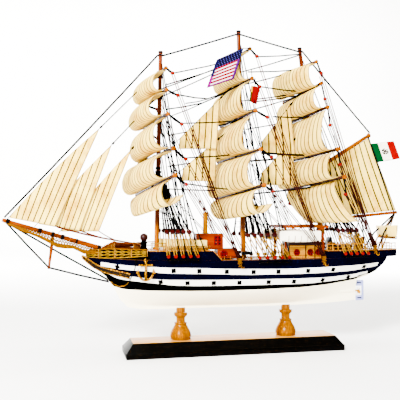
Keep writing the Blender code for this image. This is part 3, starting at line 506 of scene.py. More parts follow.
for near, far in zip(loops, loops[1:]):
    for i in range(count):
        j = (i + 1) % count
        face = hull.faces.new((near[i], near[j], far[j], far[i]))
        row = min(i, j) if max(i, j) < rows else count - 1 - max(i, j)
        middle_x = (near[i].co.x + far[i].co.x) / 2
        ends = STRAKE_ENDS[STRAKE_ROWS[row]] if row in STRAKE_ROWS else (0, 0)
        if i == rows - 1:
            face.material_index = PLANKS
        elif i == count - 1 or row < len(below):
            face.material_index = CREAM
        elif ends[0] < middle_x < ends[1]:
            face.material_index = WHITE
        elif row > len(below) + 3:
            face.material_index = NAVY
        else:
            face.material_index = BLACK
hull.faces.new(loops[0])
hull.faces.new(list(reversed(loops[-1])))
bmesh.ops.recalc_face_normals(hull, faces=hull.faces)
for face in hull.faces:
    if face.material_index == CREAM and len(face.verts) > 4:
        face.material_index = NAVY
strips = [face for face in hull.faces if face.material_index == WHITE]
bmesh.ops.inset_region(hull, faces=strips, thickness=0.16, depth=STRAKE_RISE, use_even_offset=True)
bmesh.ops.triangulate(hull, faces=[face for face in hull.faces if len(face.verts) > 4])
hull_skin = piece("hull_carved", hull, [cream_enamel, navy_enamel, strake_white, black_enamel, pine_planks],
                  smooth=40)
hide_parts("hull")

# Gun ports: four black beads pressed round each drilled hole of the white strakes, at an even
# spacing along the side. They are glossy, so each catches one point of light.
PORTS_HIGH = (-152.8, -84.4, -52.4, -17.1, 18.0, 51.0, 91.8, 128.4, 175.5)
PORTS_LOW = (-99.8, -66.6, -33.2, -0.1, 38.7, 73.5, 115.6, 155.3)


def facing(axis):
    """The turn that carries +Z onto an axis."""
    return Vector((0, 0, 1)).rotation_difference(Vector(axis).normalized()).to_matrix()


def bead(radius, stretch, spot):
    """A round bead, stretched along X, Y and Z and set at a spot."""
    solid = bmesh.new()
    bmesh.ops.create_icosphere(solid, subdivisions=2, radius=radius)
    bmesh.ops.scale(solid, verts=solid.verts, vec=stretch)
    return moved(solid, spot)


def lobes(centre, out, spread, radius):
    """Four beads round a small boss, flattened against the surface that faces out."""
    shapes = []
    for k in range(5):
        angle = pi / 4 + k * pi / 2
        off = (spread * cos(angle), spread * sin(angle), 0) if k < 4 else (0, 0, 0)
        solid = bead(radius * (0.7 if k == 4 else 1.0), (1, 1, 0.6), off)
        bmesh.ops.transform(solid, verts=solid.verts,
                            matrix=Matrix.Translation(Vector(centre)) @ facing(out).to_4x4())
        shapes.append(solid)
    return shapes


def hull_out(x, z, side):
    """The direction that the hull's side faces at a point."""
    along = Vector((1.0, side * (hull_side(x + 0.5, z) - hull_side(x - 0.5, z)), 0))
    up = Vector((0, side * (hull_side(x, z + 0.5) - hull_side(x, z - 0.5)), 1.0))
    return (along.cross(up) * -side).normalized()


beads = []
for spots, (low_line, high_line) in ((PORTS_HIGH, UPPER_STRAKE), (PORTS_LOW, LOWER_STRAKE)):
    for x in spots:
        z = (read(low_line, x) + read(high_line, x)) / 2
        for side in (-1, 1):
            out = hull_out(x, z, side)
            beads.extend(lobes(Vector((x, side * hull_side(x, z), z)) + out * (STRAKE_RISE + 0.1), out, 1.8,
                               1.75))
piece("ports", join(beads), black_enamel)

# Shaft fairing: a whittled cone of filler round the propeller's shaft, painted with the bottom. It
# swells from the deadwood and ends square before the propeller.


def skin(solid, rings):
    """Faces between closed rings of vertices and one over each end; those between are returned."""
    sides = []
    count = len(rings[0])
    for near, far in zip(rings, rings[1:]):
        for k in range(count):
            sides.append(solid.faces.new((near[k], near[(k + 1) % count], far[(k + 1) % count], far[k])))
    solid.faces.new(list(reversed(rings[0])))
    solid.faces.new(rings[-1])
    return sides


def bar(start, end, stops, sides=16):
    """A round bar along a line, turned to (distance, radius) stops, with closed ends."""
    start = Vector(start)
    turn = facing(Vector(end) - start)
    solid = bmesh.new()
    rings = []
    for distance, radius in stops:
        rim = [turn @ Vector((radius * cos(2 * pi * k / sides), radius * sin(2 * pi * k / sides), distance))
               for k in range(sides)]
        rings.append([solid.verts.new(start + p) for p in rim])
    skin(solid, rings)
    return solid


fairing = bar((112.0, 0, 74.6), (170.6, 0, 73.8), [(0.0, 0.4), (12.0, 1.7), (26.0, 3.0), (38.0, 3.6),
                                                 (50.0, 3.2), (57.4, 2.4), (58.4, 1.6)], 20)
piece("shaft_fairing", fairing, cream_enamel)

# Raised decks: blocks with navy sides, planked in thin strips of pine with tea-coloured joints.
# A gilt moulding runs round each edge, and the poop carries an open rail on short posts.
GAP = 0.3
FORE_DECK_Z = 132.0
HEAD_DECK_Z = 131.7
POOP_DECK_Z = 130.0
gilt_edge = paint("gilt_edge", "#8a5202", 0.35, fleck="#fff0b0", grit=0.7, coat=0.15, shade=0.55)


def batten(points, wide, high):
    """A square-edged strip through the points: wide across, high upward, its middle on the points."""
    points = [Vector(p) for p in points]
    solid = bmesh.new()
    rings = []
    for i, point in enumerate(points):
        along = (points[min(i + 1, len(points) - 1)] - points[max(i - 1, 0)])
        across = Vector((along.y, -along.x, 0))
        across = across.normalized() if across.length > 1e-6 else Vector((0, 1, 0))
        up = across.cross(along.normalized()).normalized()
        if up.z < 0:
            up = -up
        corners = [across * (a * wide / 2) + up * (b * high / 2)
                   for a, b in ((-1, -1), (1, -1), (1, 1), (-1, 1))]
        rings.append([solid.verts.new(point + c) for c in corners])
    skin(solid, rings)
    bmesh.ops.recalc_face_normals(solid, faces=solid.faces)
    return solid


def upright(foot, stops, sides=8):
    """A round post that stands on its foot, turned to (height, radius) stops."""
    return bar(foot, Vector(foot) + Vector((0, 0, stops[-1][0])), stops, sides)


def tubes(name, strands, finish, sides=6):
    """Round lines through points, each (points, radius), with UVs of length in millimetres and turn."""
    solid = bmesh.new()
    layer = solid.loops.layers.uv.new("UVMap")
    for points, radius in strands:
        points = [Vector(p) for p in points]
        closed = (points[0] - points[-1]).length < 0.001
        travel = [0.0]
        for a, b in zip(points, points[1:]):
            travel.append(travel[-1] + (b - a).length)
        tangents = []
        for i in range(len(points)):
            before = points[i - 1] if i else (points[-2] if closed else points[0])
            after = points[i + 1] if i + 1 < len(points) else (points[1] if closed else points[-1])
            tangents.append((after - before).normalized())
        side = tangents[0].orthogonal().normalized()
        loops = []
        for point, tangent in zip(points, tangents):
            side = (side - tangent * side.dot(tangent)).normalized()
            other = tangent.cross(side)
            loops.append([point + (side * cos(2 * pi * k / sides) + other * sin(2 * pi * k / sides)) * radius
                          for k in range(sides)])
        if closed:
            loops.pop()
        rims = [[solid.verts.new(p) for p in loop] for loop in loops]
        if closed:
            # the last ring meets the first with the least twist
            first, last = rims[0], rims[-1]
            gaps = [sum((last[k].co - first[(k + s) % sides].co).length for k in range(sides))
                    for s in range(sides)]
            shift = gaps.index(min(gaps))
            rims.append([first[(k + shift) % sides] for k in range(sides)])
        for number, (near, far) in enumerate(zip(rims, rims[1:])):
            for k in range(sides):
                face = solid.faces.new((near[k], near[(k + 1) % sides], far[(k + 1) % sides], far[k]))
                spots = ((number, k), (number, k + 1), (number + 1, k + 1), (number + 1, k))
                for loop, (step, turn) in zip(face.loops, spots):
                    loop[layer].uv = (travel[step], turn / sides)
        if not closed:
            solid.faces.new(list(reversed(rims[0])))
            solid.faces.new(rims[-1])
    return piece(name, solid, finish, smooth=180)


def thread(name, code, dark, lay=1.0, twist=0.5, gloss=0.7):
    """Laid cord: strands that wind round it once in lay millimetres; the grooves between them are darkened as
    painted shade.
    """
    made, tree, shader = new_material(name)
    flat = node(tree, "ShaderNodeUVMap", uv_map="UVMap").outputs[0]
    drawn = stretched(tree, flat, (1.0 / lay, 2.0, 1.0))
    strand = node(tree, "ShaderNodeTexWave", {"Vector": drawn, "Scale": 0.5, "Distortion": 0.0},
                  bands_direction='DIAGONAL').outputs[1]
    wear = between(tree, noise(tree, place(tree), 160.0, 3.0), 0.35, 1.0)
    feed(tree, shader, {
        "Base Color": layered(tree, calc(tree, 'MULTIPLY', strand, wear), linear(dark), linear(code)),
        "Normal": bump(tree, strand, twist, 0.00015), "Roughness": gloss, "Specular IOR Level": 0.04})
    return made


black_thread = thread("black_thread", "#050304", "#010101", lay=1.1)


def deck_rows(kind):
    """Rows of x, half breadth, underside z, top z of a raised deck."""
    if kind == "fore_deck":
        rows = [(x, hull_side(x, station_at(x)[3]), station_at(x)[3] + GAP, FORE_DECK_Z)
                for x in (-113.5, -95.0, -60.0, -34.7)]
        rows.append((-24.0, hull_side(-24.0, 125.0), station_at(-24.0)[3] + GAP, station_at(-24.0)[3] + 1.5))
    elif kind == "head_deck":
        rows = [(x, hull_side(x, 125.0) - 6.0, station_at(x)[3] + GAP, HEAD_DECK_Z)
                for x in (-177.0, -166.0, -148.0, -130.0, -114.5)]
    else:
        rows = [(x, half, station_at(min(x, COUNTER_END_X))[3] + GAP, POOP_DECK_Z)
                for x, half in ((119.0, 30.2), (150.0, 28.6), (175.0, 26.6), (200.0, 22.0), (218.0, 15.5),
                                (227.0, 9.5), (231.0, 4.0))]
    return rows


for kind, side_finish in (("fore_deck", navy_enamel), ("head_deck", black_enamel),
                          ("poop_deck", navy_enamel)):
    solid = bmesh.new()
    rings = [[solid.verts.new((x, y, z)) for y, z in ((-half, low), (half, low), (half, high), (-half, high))]
             for x, half, low, high in deck_rows(kind)]
    for number, face in enumerate(skin(solid, rings)):
        face.material_index = 1 if number % 4 == 2 else 0
    bmesh.ops.recalc_face_normals(solid, faces=solid.faces)
    bmesh.ops.bevel(solid, geom=solid.edges, offset=0.35, segments=2, profile=0.5, affect='EDGES',
                    material=-1)
    made = piece("block_" + kind, solid, [side_finish, pine_planks], smooth=30)
    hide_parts(kind)

# gilt mouldings round the raised decks, and the dark capping of the waist's side
edges, capping = [], []
for kind in ("fore_deck", "poop_deck"):
    rows = deck_rows(kind)
    for side in (-1, 1):
        edges.append(batten([(x, side * (half - 0.1), high + 0.1) for x, half, low, high in rows], 1.3, 1.0))
    for x, half, low, high in (rows[0], rows[-1]):
        edges.append(batten([(x, -half, high + 0.1), (x, half, high + 0.1)], 1.3, 1.0))
for side in (-1, 1):
    capping.append(batten([(x, side * (hull_side(x, 119.0) - 0.4), station_at(x)[3] + 0.55)
                           for x in range(-22, 119, 10)], 1.7, 1.1))
piece("gilt_mouldings", join(edges), gilt_edge, smooth=30)
piece("waist_capping", join(capping), wood("capping_wood", "#4a2608", "#160802", "X", ring=1.0, gloss=0.3))

# bulwark rail in the waist: black wire on short pins, as made up from thread and nails
pins, wires = [], []
for side in (-1, 1):
    line = []
    for x in range(-20, 116, 8):
        y = side * (hull_side(x, 119.0) - 0.4)
        z = station_at(x)[3] + 1.0
        pins.append(upright((x, y, z), ((0.0, 0.45), (3.4, 0.35), (3.7, 0.6), (4.2, 0.6), (4.4, 0.3))))
        line.append(Vector((x, y, z + 3.9)))
    wires.append((line, 0.3))
    wires.append(([p - Vector((0, 0, 1.9)) for p in line], 0.22))
piece("waist_pins", join(pins), gilt_edge)
tubes("waist_rail_thread", wires, black_thread, sides=5)

# poop rail: turned pins, a red handrail and a golden middle rail, open at the stern boat
pins, rails, mids = [], [], []
for side in (-1, 1):
    path = [(x, side * (half - 1.6)) for x, half, low, high in deck_rows("poop_deck")[:-1]]
    dense = []
    for (x0, y0), (x1, y1) in zip(path, path[1:]):
        steps = max(1, int(hypot(x1 - x0, y1 - y0) / 7.0))
        dense += [(mix(x0, x1, k / steps), mix(y0, y1, k / steps)) for k in range(steps)]
    dense.append(path[-1])
    for x, y in dense:
        pins.append(upright((x, y, POOP_DECK_Z + 0.2), ((0.0, 0.8), (0.8, 0.8), (1.2, 0.45), (3.4, 0.62),
                                                        (5.6, 0.42), (7.0, 0.6), (8.0, 0.6))))
    rails.append(batten([(x, y, POOP_DECK_Z + 8.6) for x, y in dense], 1.9, 1.0))
    mids.append(([Vector((x, y, POOP_DECK_Z + 4.4)) for x, y in dense], 0.42))
piece("poop_pins", join(pins), paint("cream_pins", "#b47e1c", 0.3, grit=0.6, coat=0.1, shade=0.7))
piece("poop_handrail", join(rails), wood("rail_wood", "#a8660c", "#5c2c06", "X", ring=0.9, gloss=0.22,
                                         coat=0.1))
gold_cord = thread("gold_cord", "#b07204", "#492a0e", lay=1.3)
tubes("poop_middle_rail", mids, gold_cord, sides=6)

# Bowsprit: one tapered dowel whose heel is lashed down on the head deck. The dolphin striker
# hangs under it, and black bobstays run from the tip over the striker to the stem.
BOWSPRIT_HEEL = Vector((-172.0, 0.0, 134.9))
BOWSPRIT_TIP = Vector((-291.8, 0.0, 170.9))
STRIKER = (Vector((-231.0, 0, 151.5)), Vector((-236.0, 0, 110.0)))
bowsprit_wood = wood("bowsprit_wood", "#7a3402", "#280d04", "X", ring=1.0, gloss=0.18, coat=0.03)


def bowsprit_point(x, drop=0.0, y=0.0):
    """A point of the bowsprit's axis at x, lowered by drop."""
    share = (BOWSPRIT_HEEL.x - x) / (BOWSPRIT_HEEL.x - BOWSPRIT_TIP.x)
    return Vector((x, y, mix(BOWSPRIT_HEEL.z, BOWSPRIT_TIP.z, share) - drop))


def ring_points(centre, axis, radius, count):
    """Points of a closed ring around an axis; the first is repeated at the end."""
    turn = facing(axis)
    return [Vector(centre) + turn @ Vector((radius * cos(2 * pi * k / count),
                                            radius * sin(2 * pi * k / count), 0))
            for k in range(count + 1)]


def slack(start, end, sag):
    """A line between two points that hangs a little in its middle."""
    return [start, start.lerp(end, 0.5) - Vector((0, 0, sag)), end]


span = (BOWSPRIT_TIP - BOWSPRIT_HEEL).length
stops = [(0.0, 3.0), (span * 0.35, 2.85), (span * 0.7, 2.55), (span - 5.0, 2.3), (span - 4.6, 2.7),
         (span - 2.4, 2.7), (span - 2.0, 2.3), (span - 0.4, 2.2), (span, 1.8)]
striker_long = (STRIKER[1] - STRIKER[0]).length
striker_stops = [(0.0, 2.0), (striker_long * 0.4, 2.0), (striker_long - 3.0, 1.6), (striker_long - 2.4, 2.0),
                 (striker_long - 0.8, 1.9), (striker_long, 1.2)]
inboard = bar((-171.0, 0, 134.7), (-124.0, 0, 134.2), [(0.0, 2.9), (20.0, 2.5), (46.0, 1.9), (47.0, 1.4)], 16)
made = piece("bowsprit_spar", join([bar(BOWSPRIT_HEEL, BOWSPRIT_TIP, stops, 20),
                                    bar(STRIKER[0], STRIKER[1], striker_stops, 14), inboard]), bowsprit_wood)
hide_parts("bowsprit")
wraps = []
axis = BOWSPRIT_TIP - BOWSPRIT_HEEL
for x, turns in ((-286.5, 5), (-248.4, 5), (-232.5, 4), (-221.0, 5), (-203.0, 3), (-176.0, 5)):
    for turn in range(turns):
        wraps.append((ring_points(bowsprit_point(x + turn * 0.8), axis, 3.1, 16), 0.42))
for turn in range(5):
    for share, step, radius, thick in ((0.12, 0.02, 1.8, 0.4), (0.93, 0.012, 1.6, 0.3)):
        spot = STRIKER[0].lerp(STRIKER[1], share + turn * step)
        wraps.append((ring_points(spot, STRIKER[1] - STRIKER[0], radius, 12), thick))
stem_eye = Vector((-162.0, 0, 94.0))
bob_low = STRIKER[1] + Vector((0, 0, 2.0))
for start, end in ((bowsprit_point(-286.0, 2.6), bob_low), (bob_low, stem_eye + Vector((0, 0, -1.2))),
                   (bowsprit_point(-284.0, 2.6), stem_eye + Vector((0, 0, 0.6)))):
    wraps.append((slack(start, end, 0.5), 1.3))
tubes("bowsprit_rigging", wraps, black_thread)

# Head net: golden crocheted cord slung under the bowsprit between two ropes, and a lattice of it
# along the head rails. The cords cross in diamonds, and each crossing is knotted.
gold_net = thread("gold_net", "#9c6404", "#2c1604", lay=1.2)
pale_net = thread("pale_net", "#c89a24", "#2a1606", lay=1.2)
UNDER_NET = ((-284.0, 1.8), (-270.0, 4.2), (-258.0, 5.6), (-249.0, 6.6), (-240.0, 8.4), (-231.0, 10.8),
             (-226.0, 12.4), (-216.0, 10.6), (-206.5, 8.0), (-199.0, 9.4), (-193.5, 10.6), (-182.0, 7.4),
             (-176.0, 5.4))


def net_point(x, down, side):
    """A point of the under-net: down runs from the bowsprit (0) to the side rope (1)."""
    reach = mix(1.5, 8.5, min(1.0, (x + 290.0) / 60.0))
    drop = read(UNDER_NET, x)
    lean = sin(down * pi / 2)
    return bowsprit_point(x, 1.2 + drop * down ** 1.3, side * (1.8 + (reach - 1.8) * lean))


net = []
for side in (-1, 1):
    columns = [-285.0 + 3.4 * k for k in range(33)]
    for down in (0.5, 0.75, 1.0):
        net.append(([net_point(x, down, side) for x in columns], 0.85 if down == 1.0 else 0.4))
    net.append(([net_point(x, 0.93, side) + Vector((0, 0, 1.1)) for x in columns], 0.7))
    for k in range(len(columns) - 2):
        for a, b in ((0.25, 1.0), (1.0, 0.25)):
            path = [net_point(mix(columns[k], columns[k + 2], t), mix(a, b, t), side)
                    for t in (0.0, 0.33, 0.66, 1.0)]
            net.append((path, 0.42))
tubes("under_net", net, gold_net, sides=5)

# the rails of the head: posts with four cords, and diagonals between the cords, from bow to fore deck
# x, half breadth, z of the lowest cord and of the top one
HEAD_RAIL = ((-190.5, 1.6, 124.6, 130.2), (-184.0, 5.2, 123.9, 132.6), (-176.0, 9.6, 123.6, 134.0),
             (-166.0, 13.9, 123.6, 134.8), (-156.0, 17.4, 123.8, 135.0), (-146.0, 20.4, 124.2, 134.6),
             (-136.0, 22.9, 124.8, 134.2), (-126.0, 25.0, 125.6, 134.0), (-117.0, 26.6, 126.0, 133.8))
HEAD_CELLS = 9


def head_point(t, up, side):
    """A point of the head rail's net: t from the bow (0) to the fore deck (1), up from 0 to 1."""
    spot = t * (len(HEAD_RAIL) - 1)
    k = min(int(spot), len(HEAD_RAIL) - 2)
    x, y, low, high = [mix(a, b, spot - k) for a, b in zip(HEAD_RAIL[k], HEAD_RAIL[k + 1])]
    return Vector((x, side * y, mix(low, high, up)))


net, top_ropes, posts, deep = [], [], [], []
for side in (-1, 1):
    for up, thick in ((0.0, 0.6), (0.34, 0.55), (0.68, 0.55), (1.0, 0.7)):
        rope = [head_point(k / 32, up, side) + Vector((0, side * 0.2 * (k % 2), 0)) for k in range(33)]
        (top_ropes if up == 1.0 else net).append((rope, thick))
    for k in range(HEAD_CELLS):
        for a, b in ((0.0, 0.34), (0.68, 0.34), (0.34, 0.68), (1.0, 0.68)):
            net.append(([head_point((k + s) / HEAD_CELLS, mix(a, b, s), side) for s in (0.0, 0.5, 1.0)],
                        0.32))
    for k in range(5):
        low, high = head_point(k / 4, -0.02, side), head_point(k / 4, 1.04, side)
        height = (high - low).length
        posts.append(bar(low, high, [(0.0, 0.75), (0.8, 0.75), (1.2, 0.5), (height - 1.2, 0.45),
                                     (height - 0.8, 0.75), (height, 0.5)], 8))
    # a black board behind the net, as the painted shadow that falls behind its cords
    deep.append(batten([head_point(k / 16, 0.5, side) + Vector((0, -side * 1.5, 0)) for k in range(17)],
                       0.8, 10.4))
tubes("head_net", net, pale_net, sides=5)
tubes("head_ropes", top_ropes, gold_net, sides=6)
piece("head_posts", join(posts), gilt_edge)
piece("head_shadow_boards", join(deep), black_enamel, smooth=30)

# Jib sheets of pinkish-brown cord: led from the clews aft over the bow rail and made fast, with
# their falls, on turned pins in the head deck. Two-ply cord this thick shows its lay.
sheet_cord = thread("sheet_cord", "#6a2a14", "#200604", lay=1.8, twist=0.8)
ropes, pins = [], []


def belay(spot, thick, strands):
    """A pin that stands in the head deck below spot, with one turn of a rope round it."""
    foot = Vector((spot.x, spot.y, HEAD_DECK_Z - 0.2))
    height = spot.z + 2.2 - foot.z
    pins.append(upright(foot, ((0.0, 1.0), (0.8, 1.0), (1.2, 0.6), (height - 1.4, 0.55), (height - 0.8, 0.85),
                               (height, 0.5))))
    strands.append((ring_points(spot, (0.1, 0, 1), 0.6 + thick, 12), thick))


# each sheet's clew and thickness
JIB_SHEETS = (((-228.6, -8.0, 163.4), 0.8), ((-226.0, -7.0, 162.0), 1.0), ((-199.4, -8.0, 157.8), 0.75),
              ((-197.0, -7.4, 157.2), 0.75), ((-175.6, -8.0, 157.0), 0.7))
for number, (start, thick) in enumerate(JIB_SHEETS):
    start = Vector(start)
    bend = Vector((-150.0, -11.0 + 1.9 * number, 144.6 - 0.2 * number))
    made_fast = Vector((-127.0 + 1.4 * number, 1.0 + 1.9 * number, 140.2))
    hanging = [start.lerp(bend, t) - Vector((0, 0, 1.4 * sin(pi * t)))
               for t in (0, 0.15, 0.3, 0.45, 0.6, 0.75, 0.9)]
    ropes.append((hanging + slack(bend, made_fast, 0.3), thick))
    belay(made_fast, thick, ropes)
tubes("jib_sheets", ropes, sheet_cord, sides=7)
hank_cord = thread("hank_cord", "#94420a", "#2c0c02", lay=1.8, twist=0.8)
FALL_THICK = 0.7
ropes = []
for run in range(8):
    near = Vector((-168.0 + 1.7 * run, -3.2 - 1.15 * run, 137.0 + 0.9 * run))
    far = Vector((-124.0 - 1.2 * run, -5.0 - 1.4 * run, 138.0 + 0.45 * run))
    ropes.append(([near.lerp(far, k / 8) - Vector((0, 0, 0.5 * sin(pi * k / 8))) for k in range(9)],
                  FALL_THICK))
    belay(near, FALL_THICK, ropes)
    belay(far, FALL_THICK, ropes)
tubes("sheet_falls", ropes, hank_cord, sides=7)
piece("sheet_pins", join(pins), gilt_edge)

# Trailboard: a carved limewood strip from the stem head along each bow, gilded over brown with
# two gold fillets, its scroll of leaves picked out between them.
TRAIL = ((-195.0, 124.6), (-188.7, 119.8), (-182.5, 115.0), (-174.4, 110.2), (-166.0, 107.3), (-155.9, 105.0),
         (-146.7, 103.0), (-137.4, 100.8))
carved_brown = paint("carved_brown", "#120702", 0.4, fleck="#b07818", grit=0.9, coat=0.05, shade=0.3,
                     shine=0.05)
bright_gilt, tree, shader = new_material("bright_gilt")
# leaf over yellow bole, bright on the crests of its relief; the brown in the hollows is painted shade
leafing = noise(tree, place(tree), 520.0, 4.0, Roughness=0.7)
hollow_shade = remap(tree, leafing, 0.45, 0.54)
feed(tree, shader, {
    "Base Color": layered(tree, hollow_shade, linear("#2a1200"), linear("#b47a08")),
    "Roughness": remap(tree, leafing, new_low=0.5, new_high=0.22),
    "Normal": bump(tree, leafing, 0.3, 0.0002), "Metallic": 0.92})
TRAIL_STEPS = 40
boards, fillets, leaves = [], [], []
for side in (-1, 1):
    middle, high, low = [], [], []
    for row in range(TRAIL_STEPS + 1):
        t = row / TRAIL_STEPS
        x = TRAIL[0][0] + 57.6 * row / TRAIL_STEPS
        z = read(TRAIL, x)
        wide = 1.6 + 1.0 * min(1.0, t * 4) + 0.3 * t
        slope = Vector((1.0, 0, (read(TRAIL, x + 0.5) - read(TRAIL, x - 0.5)))).normalized()
        up = Vector((-slope.z, 0, slope.x))
        base_y = max(hull_side(max(x, STEM_X + 0.1), max(z, station_at(x)[1] + 0.5)), 0.9)
        for line, off, out in ((low, -wide, 0.6), (high, wide, 0.6), (middle, 0.0, 0.35)):
            spot = Vector((x, 0, z)) + up * off
            y = hull_side(max(spot.x, STEM_X + 0.1), min(123.5, spot.z)) if spot.x > STEM_X else 0.9
            line.append(Vector((spot.x, side * (max(base_y, y) + out), spot.z)))
    strip = bmesh.new()
    inward = Vector((0, -side * 1.4, 0))
    skin(strip, [[strip.verts.new(p) for p in (a, b, b + inward, a + inward)] for a, b in zip(low, high)])
    bmesh.ops.recalc_face_normals(strip, faces=strip.faces)
    boards.append(strip)
    fillets.extend(((low, 0.7), (high, 0.8)))
    for k in range(3, 39, 2):
        point = middle[k]
        tilt = radians(40 if k % 4 == 1 else -40)
        slope = (middle[k + 1] - middle[k - 1]).normalized()
        leaf = bead(1.0, (0.55, 0.5, 1.35), (0, 0, 0))
        bmesh.ops.rotate(leaf, verts=leaf.verts,
                         matrix=Matrix.Rotation(tilt - atan2(slope.z, slope.x), 3, 'Y'))
        leaves.append(moved(leaf, point + Vector((0, side * 0.35, 0))))
board = piece("trailboards", join(boards), carved_brown, smooth=30)
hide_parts("head_scroll")
tubes("trailboard_fillets", fillets, bright_gilt, sides=8)
head_bead = turned(((0.0, -1.9), (1.2, -1.6), (1.9, -0.6), (1.9, 0.5), (1.3, 1.4), (0.0, 1.9)), 16)
leaves.append(moved(head_bead, (-194.6, 0, 125.0)))
piece("trailboard_leaves", join(leaves), bright_gilt)

# Anchor chain: gilt links that hang in a bight from the trailboard's end to the stem, and a black
# line that drops to them from the hawse.
CHAIN = ((-138.9, 92.8), (-140.6, 90.6), (-142.4, 89.2), (-144.4, 88.2), (-146.6, 87.7), (-149.0, 87.7),
         (-151.4, 88.1), (-153.6, 88.9), (-155.8, 90.0), (-158.0, 91.6), (-160.2, 93.4))
links, hawse = [], []
for side in (-1, 1):
    spots = [Vector((x, side * (hull_side(x, z) + 1.0), z)) for x, z in CHAIN]
    for number, (a, b) in enumerate(zip(spots, spots[1:])):
        for half in (0.0, 0.5):
            centre = a.lerp(b, half + 0.25)
            along = (b - a).normalized()
            across = Vector((0, 1, 0)) if (number * 2 + int(half * 2)) % 2 else along.cross(Vector((0, 1, 0)))
            loop = [centre + along * (1.0 * cos(2 * pi * k / 10)) + across * (0.6 * sin(2 * pi * k / 10))
                    for k in range(11)]
            links.append((loop, 0.3))
    line = [Vector((x, side * (hull_side(x, z) + 0.9), z)) for x, z in
            ((-130.6, 119.5), (-131.6, 112.0), (-133.6, 105.0), (-136.0, 99.0), (-138.4, 93.4))]
    hawse.append((line, 0.6))
    hawse.append((ring_points(line[0], (0.2, side, 0), 1.5, 14), 0.6))
tubes("bow_chain", links, bright_gilt, sides=5)
tubes("hawse_lines", hawse, black_thread)

# Anchors: cast white metal, brass-plated. The shank runs through a wooden stock, the arms end in
# leaf-shaped palms, and the ring is tied up to the head with black thread.
anchor_metal = bright_gilt.copy()
anchor_metal.name = "plated_casting"
ANCHOR_X = -119.0
ANCHOR_ARM = 9.6
CROWN_Z = 108.5
STOCK_HALF = 7.6
STOCK_Z = 115.2


def flat_plate(outline, thick):
    """A flat plate as thick as given across Y, cut to an outline of x and z."""
    solid = bmesh.new()
    face = solid.faces.new([solid.verts.new((x, -thick / 2, z)) for x, z in outline])
    grown = bmesh.ops.extrude_face_region(solid, geom=[face])
    bmesh.ops.translate(solid, verts=[v for v in grown["geom"] if isinstance(v, bmesh.types.BMVert)],
                        vec=(0, thick, 0))
    bmesh.ops.recalc_face_normals(solid, faces=solid.faces)
    return solid


for name, side in (("port", -1), ("starboard", 1)):
    y = side * (hull_side(ANCHOR_X, 121.0) + 2.2)
    arms = [Vector((ANCHOR_X - ANCHOR_ARM * cos(pi * k / 16), y, CROWN_Z - 12.0 * sin(pi * k / 16)))
            for k in range(17)]
    shapes = [bar((ANCHOR_X, y, 95.9), (ANCHOR_X, y, 120.6),
                  [(0.0, 1.4), (1.2, 2.1), (2.6, 1.8), (18.0, 1.3), (19.0, 1.7), (22.0, 1.7), (23.6, 1.1),
                   (24.7, 0.7)], 10)]
    for end in (-1, 1):
        palm = flat_plate(((-2.1, -3.4), (0.0, -4.6), (2.1, -3.4), (0.6, 0.6), (0.0, 2.6), (-0.6, 0.6)), 0.9)
        bmesh.ops.rotate(palm, verts=palm.verts, matrix=Matrix.Rotation(radians(-end * 8), 3, 'Y'))
        shapes.append(moved(palm, (ANCHOR_X + end * ANCHOR_ARM, y, CROWN_Z)))
        knob = turned(((0.0, -1.5), (1.1, -1.1), (1.5, 0.0), (1.1, 1.1), (0.0, 1.5)), 12)
        shapes.append(moved(knob, (ANCHOR_X + end * STOCK_HALF, y, STOCK_Z)))
    shapes.append(bar((ANCHOR_X - STOCK_HALF, y, STOCK_Z), (ANCHOR_X + STOCK_HALF, y, STOCK_Z),
                      [(0.0, 0.9), (6.4, 1.4), (8.8, 1.4), (15.2, 0.9)], 10))
    made = piece("anchor_casting_" + name, join(shapes), anchor_metal)
    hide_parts("anchor_" + name)
    tubes("anchor_arms_" + name, [(arms, 1.35),
                                  (ring_points((ANCHOR_X, y, 121.0), (0, 1, 0.2), 2.0, 14), 0.6)],
          anchor_metal, sides=8)
    lashing = [Vector((ANCHOR_X, y, 122.4)), Vector((ANCHOR_X + 1.0, y - side * 1.6, 126.5)),
               Vector((ANCHOR_X + 1.4, y - side * 2.4, 131.0))]
    tubes("anchor_lashing_" + name, [(lashing, 0.45)], black_thread)

# Deck houses: blocks of stained limewood with a moulded cornice, corner posts and a plinth. The
# fore house steps down aft, and red panels and discs with drilled eyes are glued on its sides.
house_amber = wood("house_amber", "#862f00", "#5c1a00", "X", ring=1.3, gloss=0.25, coat=0.02)
house_cream = wood("house_cream", "#d89c34", "#9a5c10", "X", ring=1.3, gloss=0.3, coat=0.02)
signal_red = paint("signal_red", "#6e0200", 0.25, fleck="#c05020", grit=0.9, coat=0.03, shade=0.55,
                   shine=0.08)
maroon = paint("maroon", "#290706", 0.3, fleck="#a04020", grit=0.8, coat=0.08, shade=0.4)
pitch_black = paint("pitch_black", "#010101", 0.35, coat=0.02, shine=0.1)


def slab(low, high, grow, thick, bevel=0.3):
    """A moulding round the top of a block: grown outward and as thick as given, centred on its edge."""
    return block((low[0] - grow, low[1] - grow, high[2] - thick / 2),
                 (high[0] + grow, high[1] + grow, high[2] + thick / 2), bevel)


def drilled_disc(centre, side, radius, eyes):
    """A turned disc on a side wall, with a raised rim and a few dark eyes in it."""
    disc = turned(((0.0, 0.0), (radius, 0.0), (radius, 0.9), (radius - 0.7, 1.2), (radius - 1.2, 0.8),
                   (0.0, 0.8)), 28)
    bmesh.ops.rotate(disc, verts=disc.verts, matrix=Matrix.Rotation(radians(90) * -side, 3, 'X'))
    dots = []
    for k in range(eyes):
        angle = pi / 4 + 2 * pi * k / eyes
        off = Vector((cos(angle) * radius * 0.46, side * 0.9, sin(angle) * radius * 0.46))
        dots.append(bead(radius * 0.21, (1, 0.5, 1), Vector(centre) + off))
    return moved(disc, centre), dots


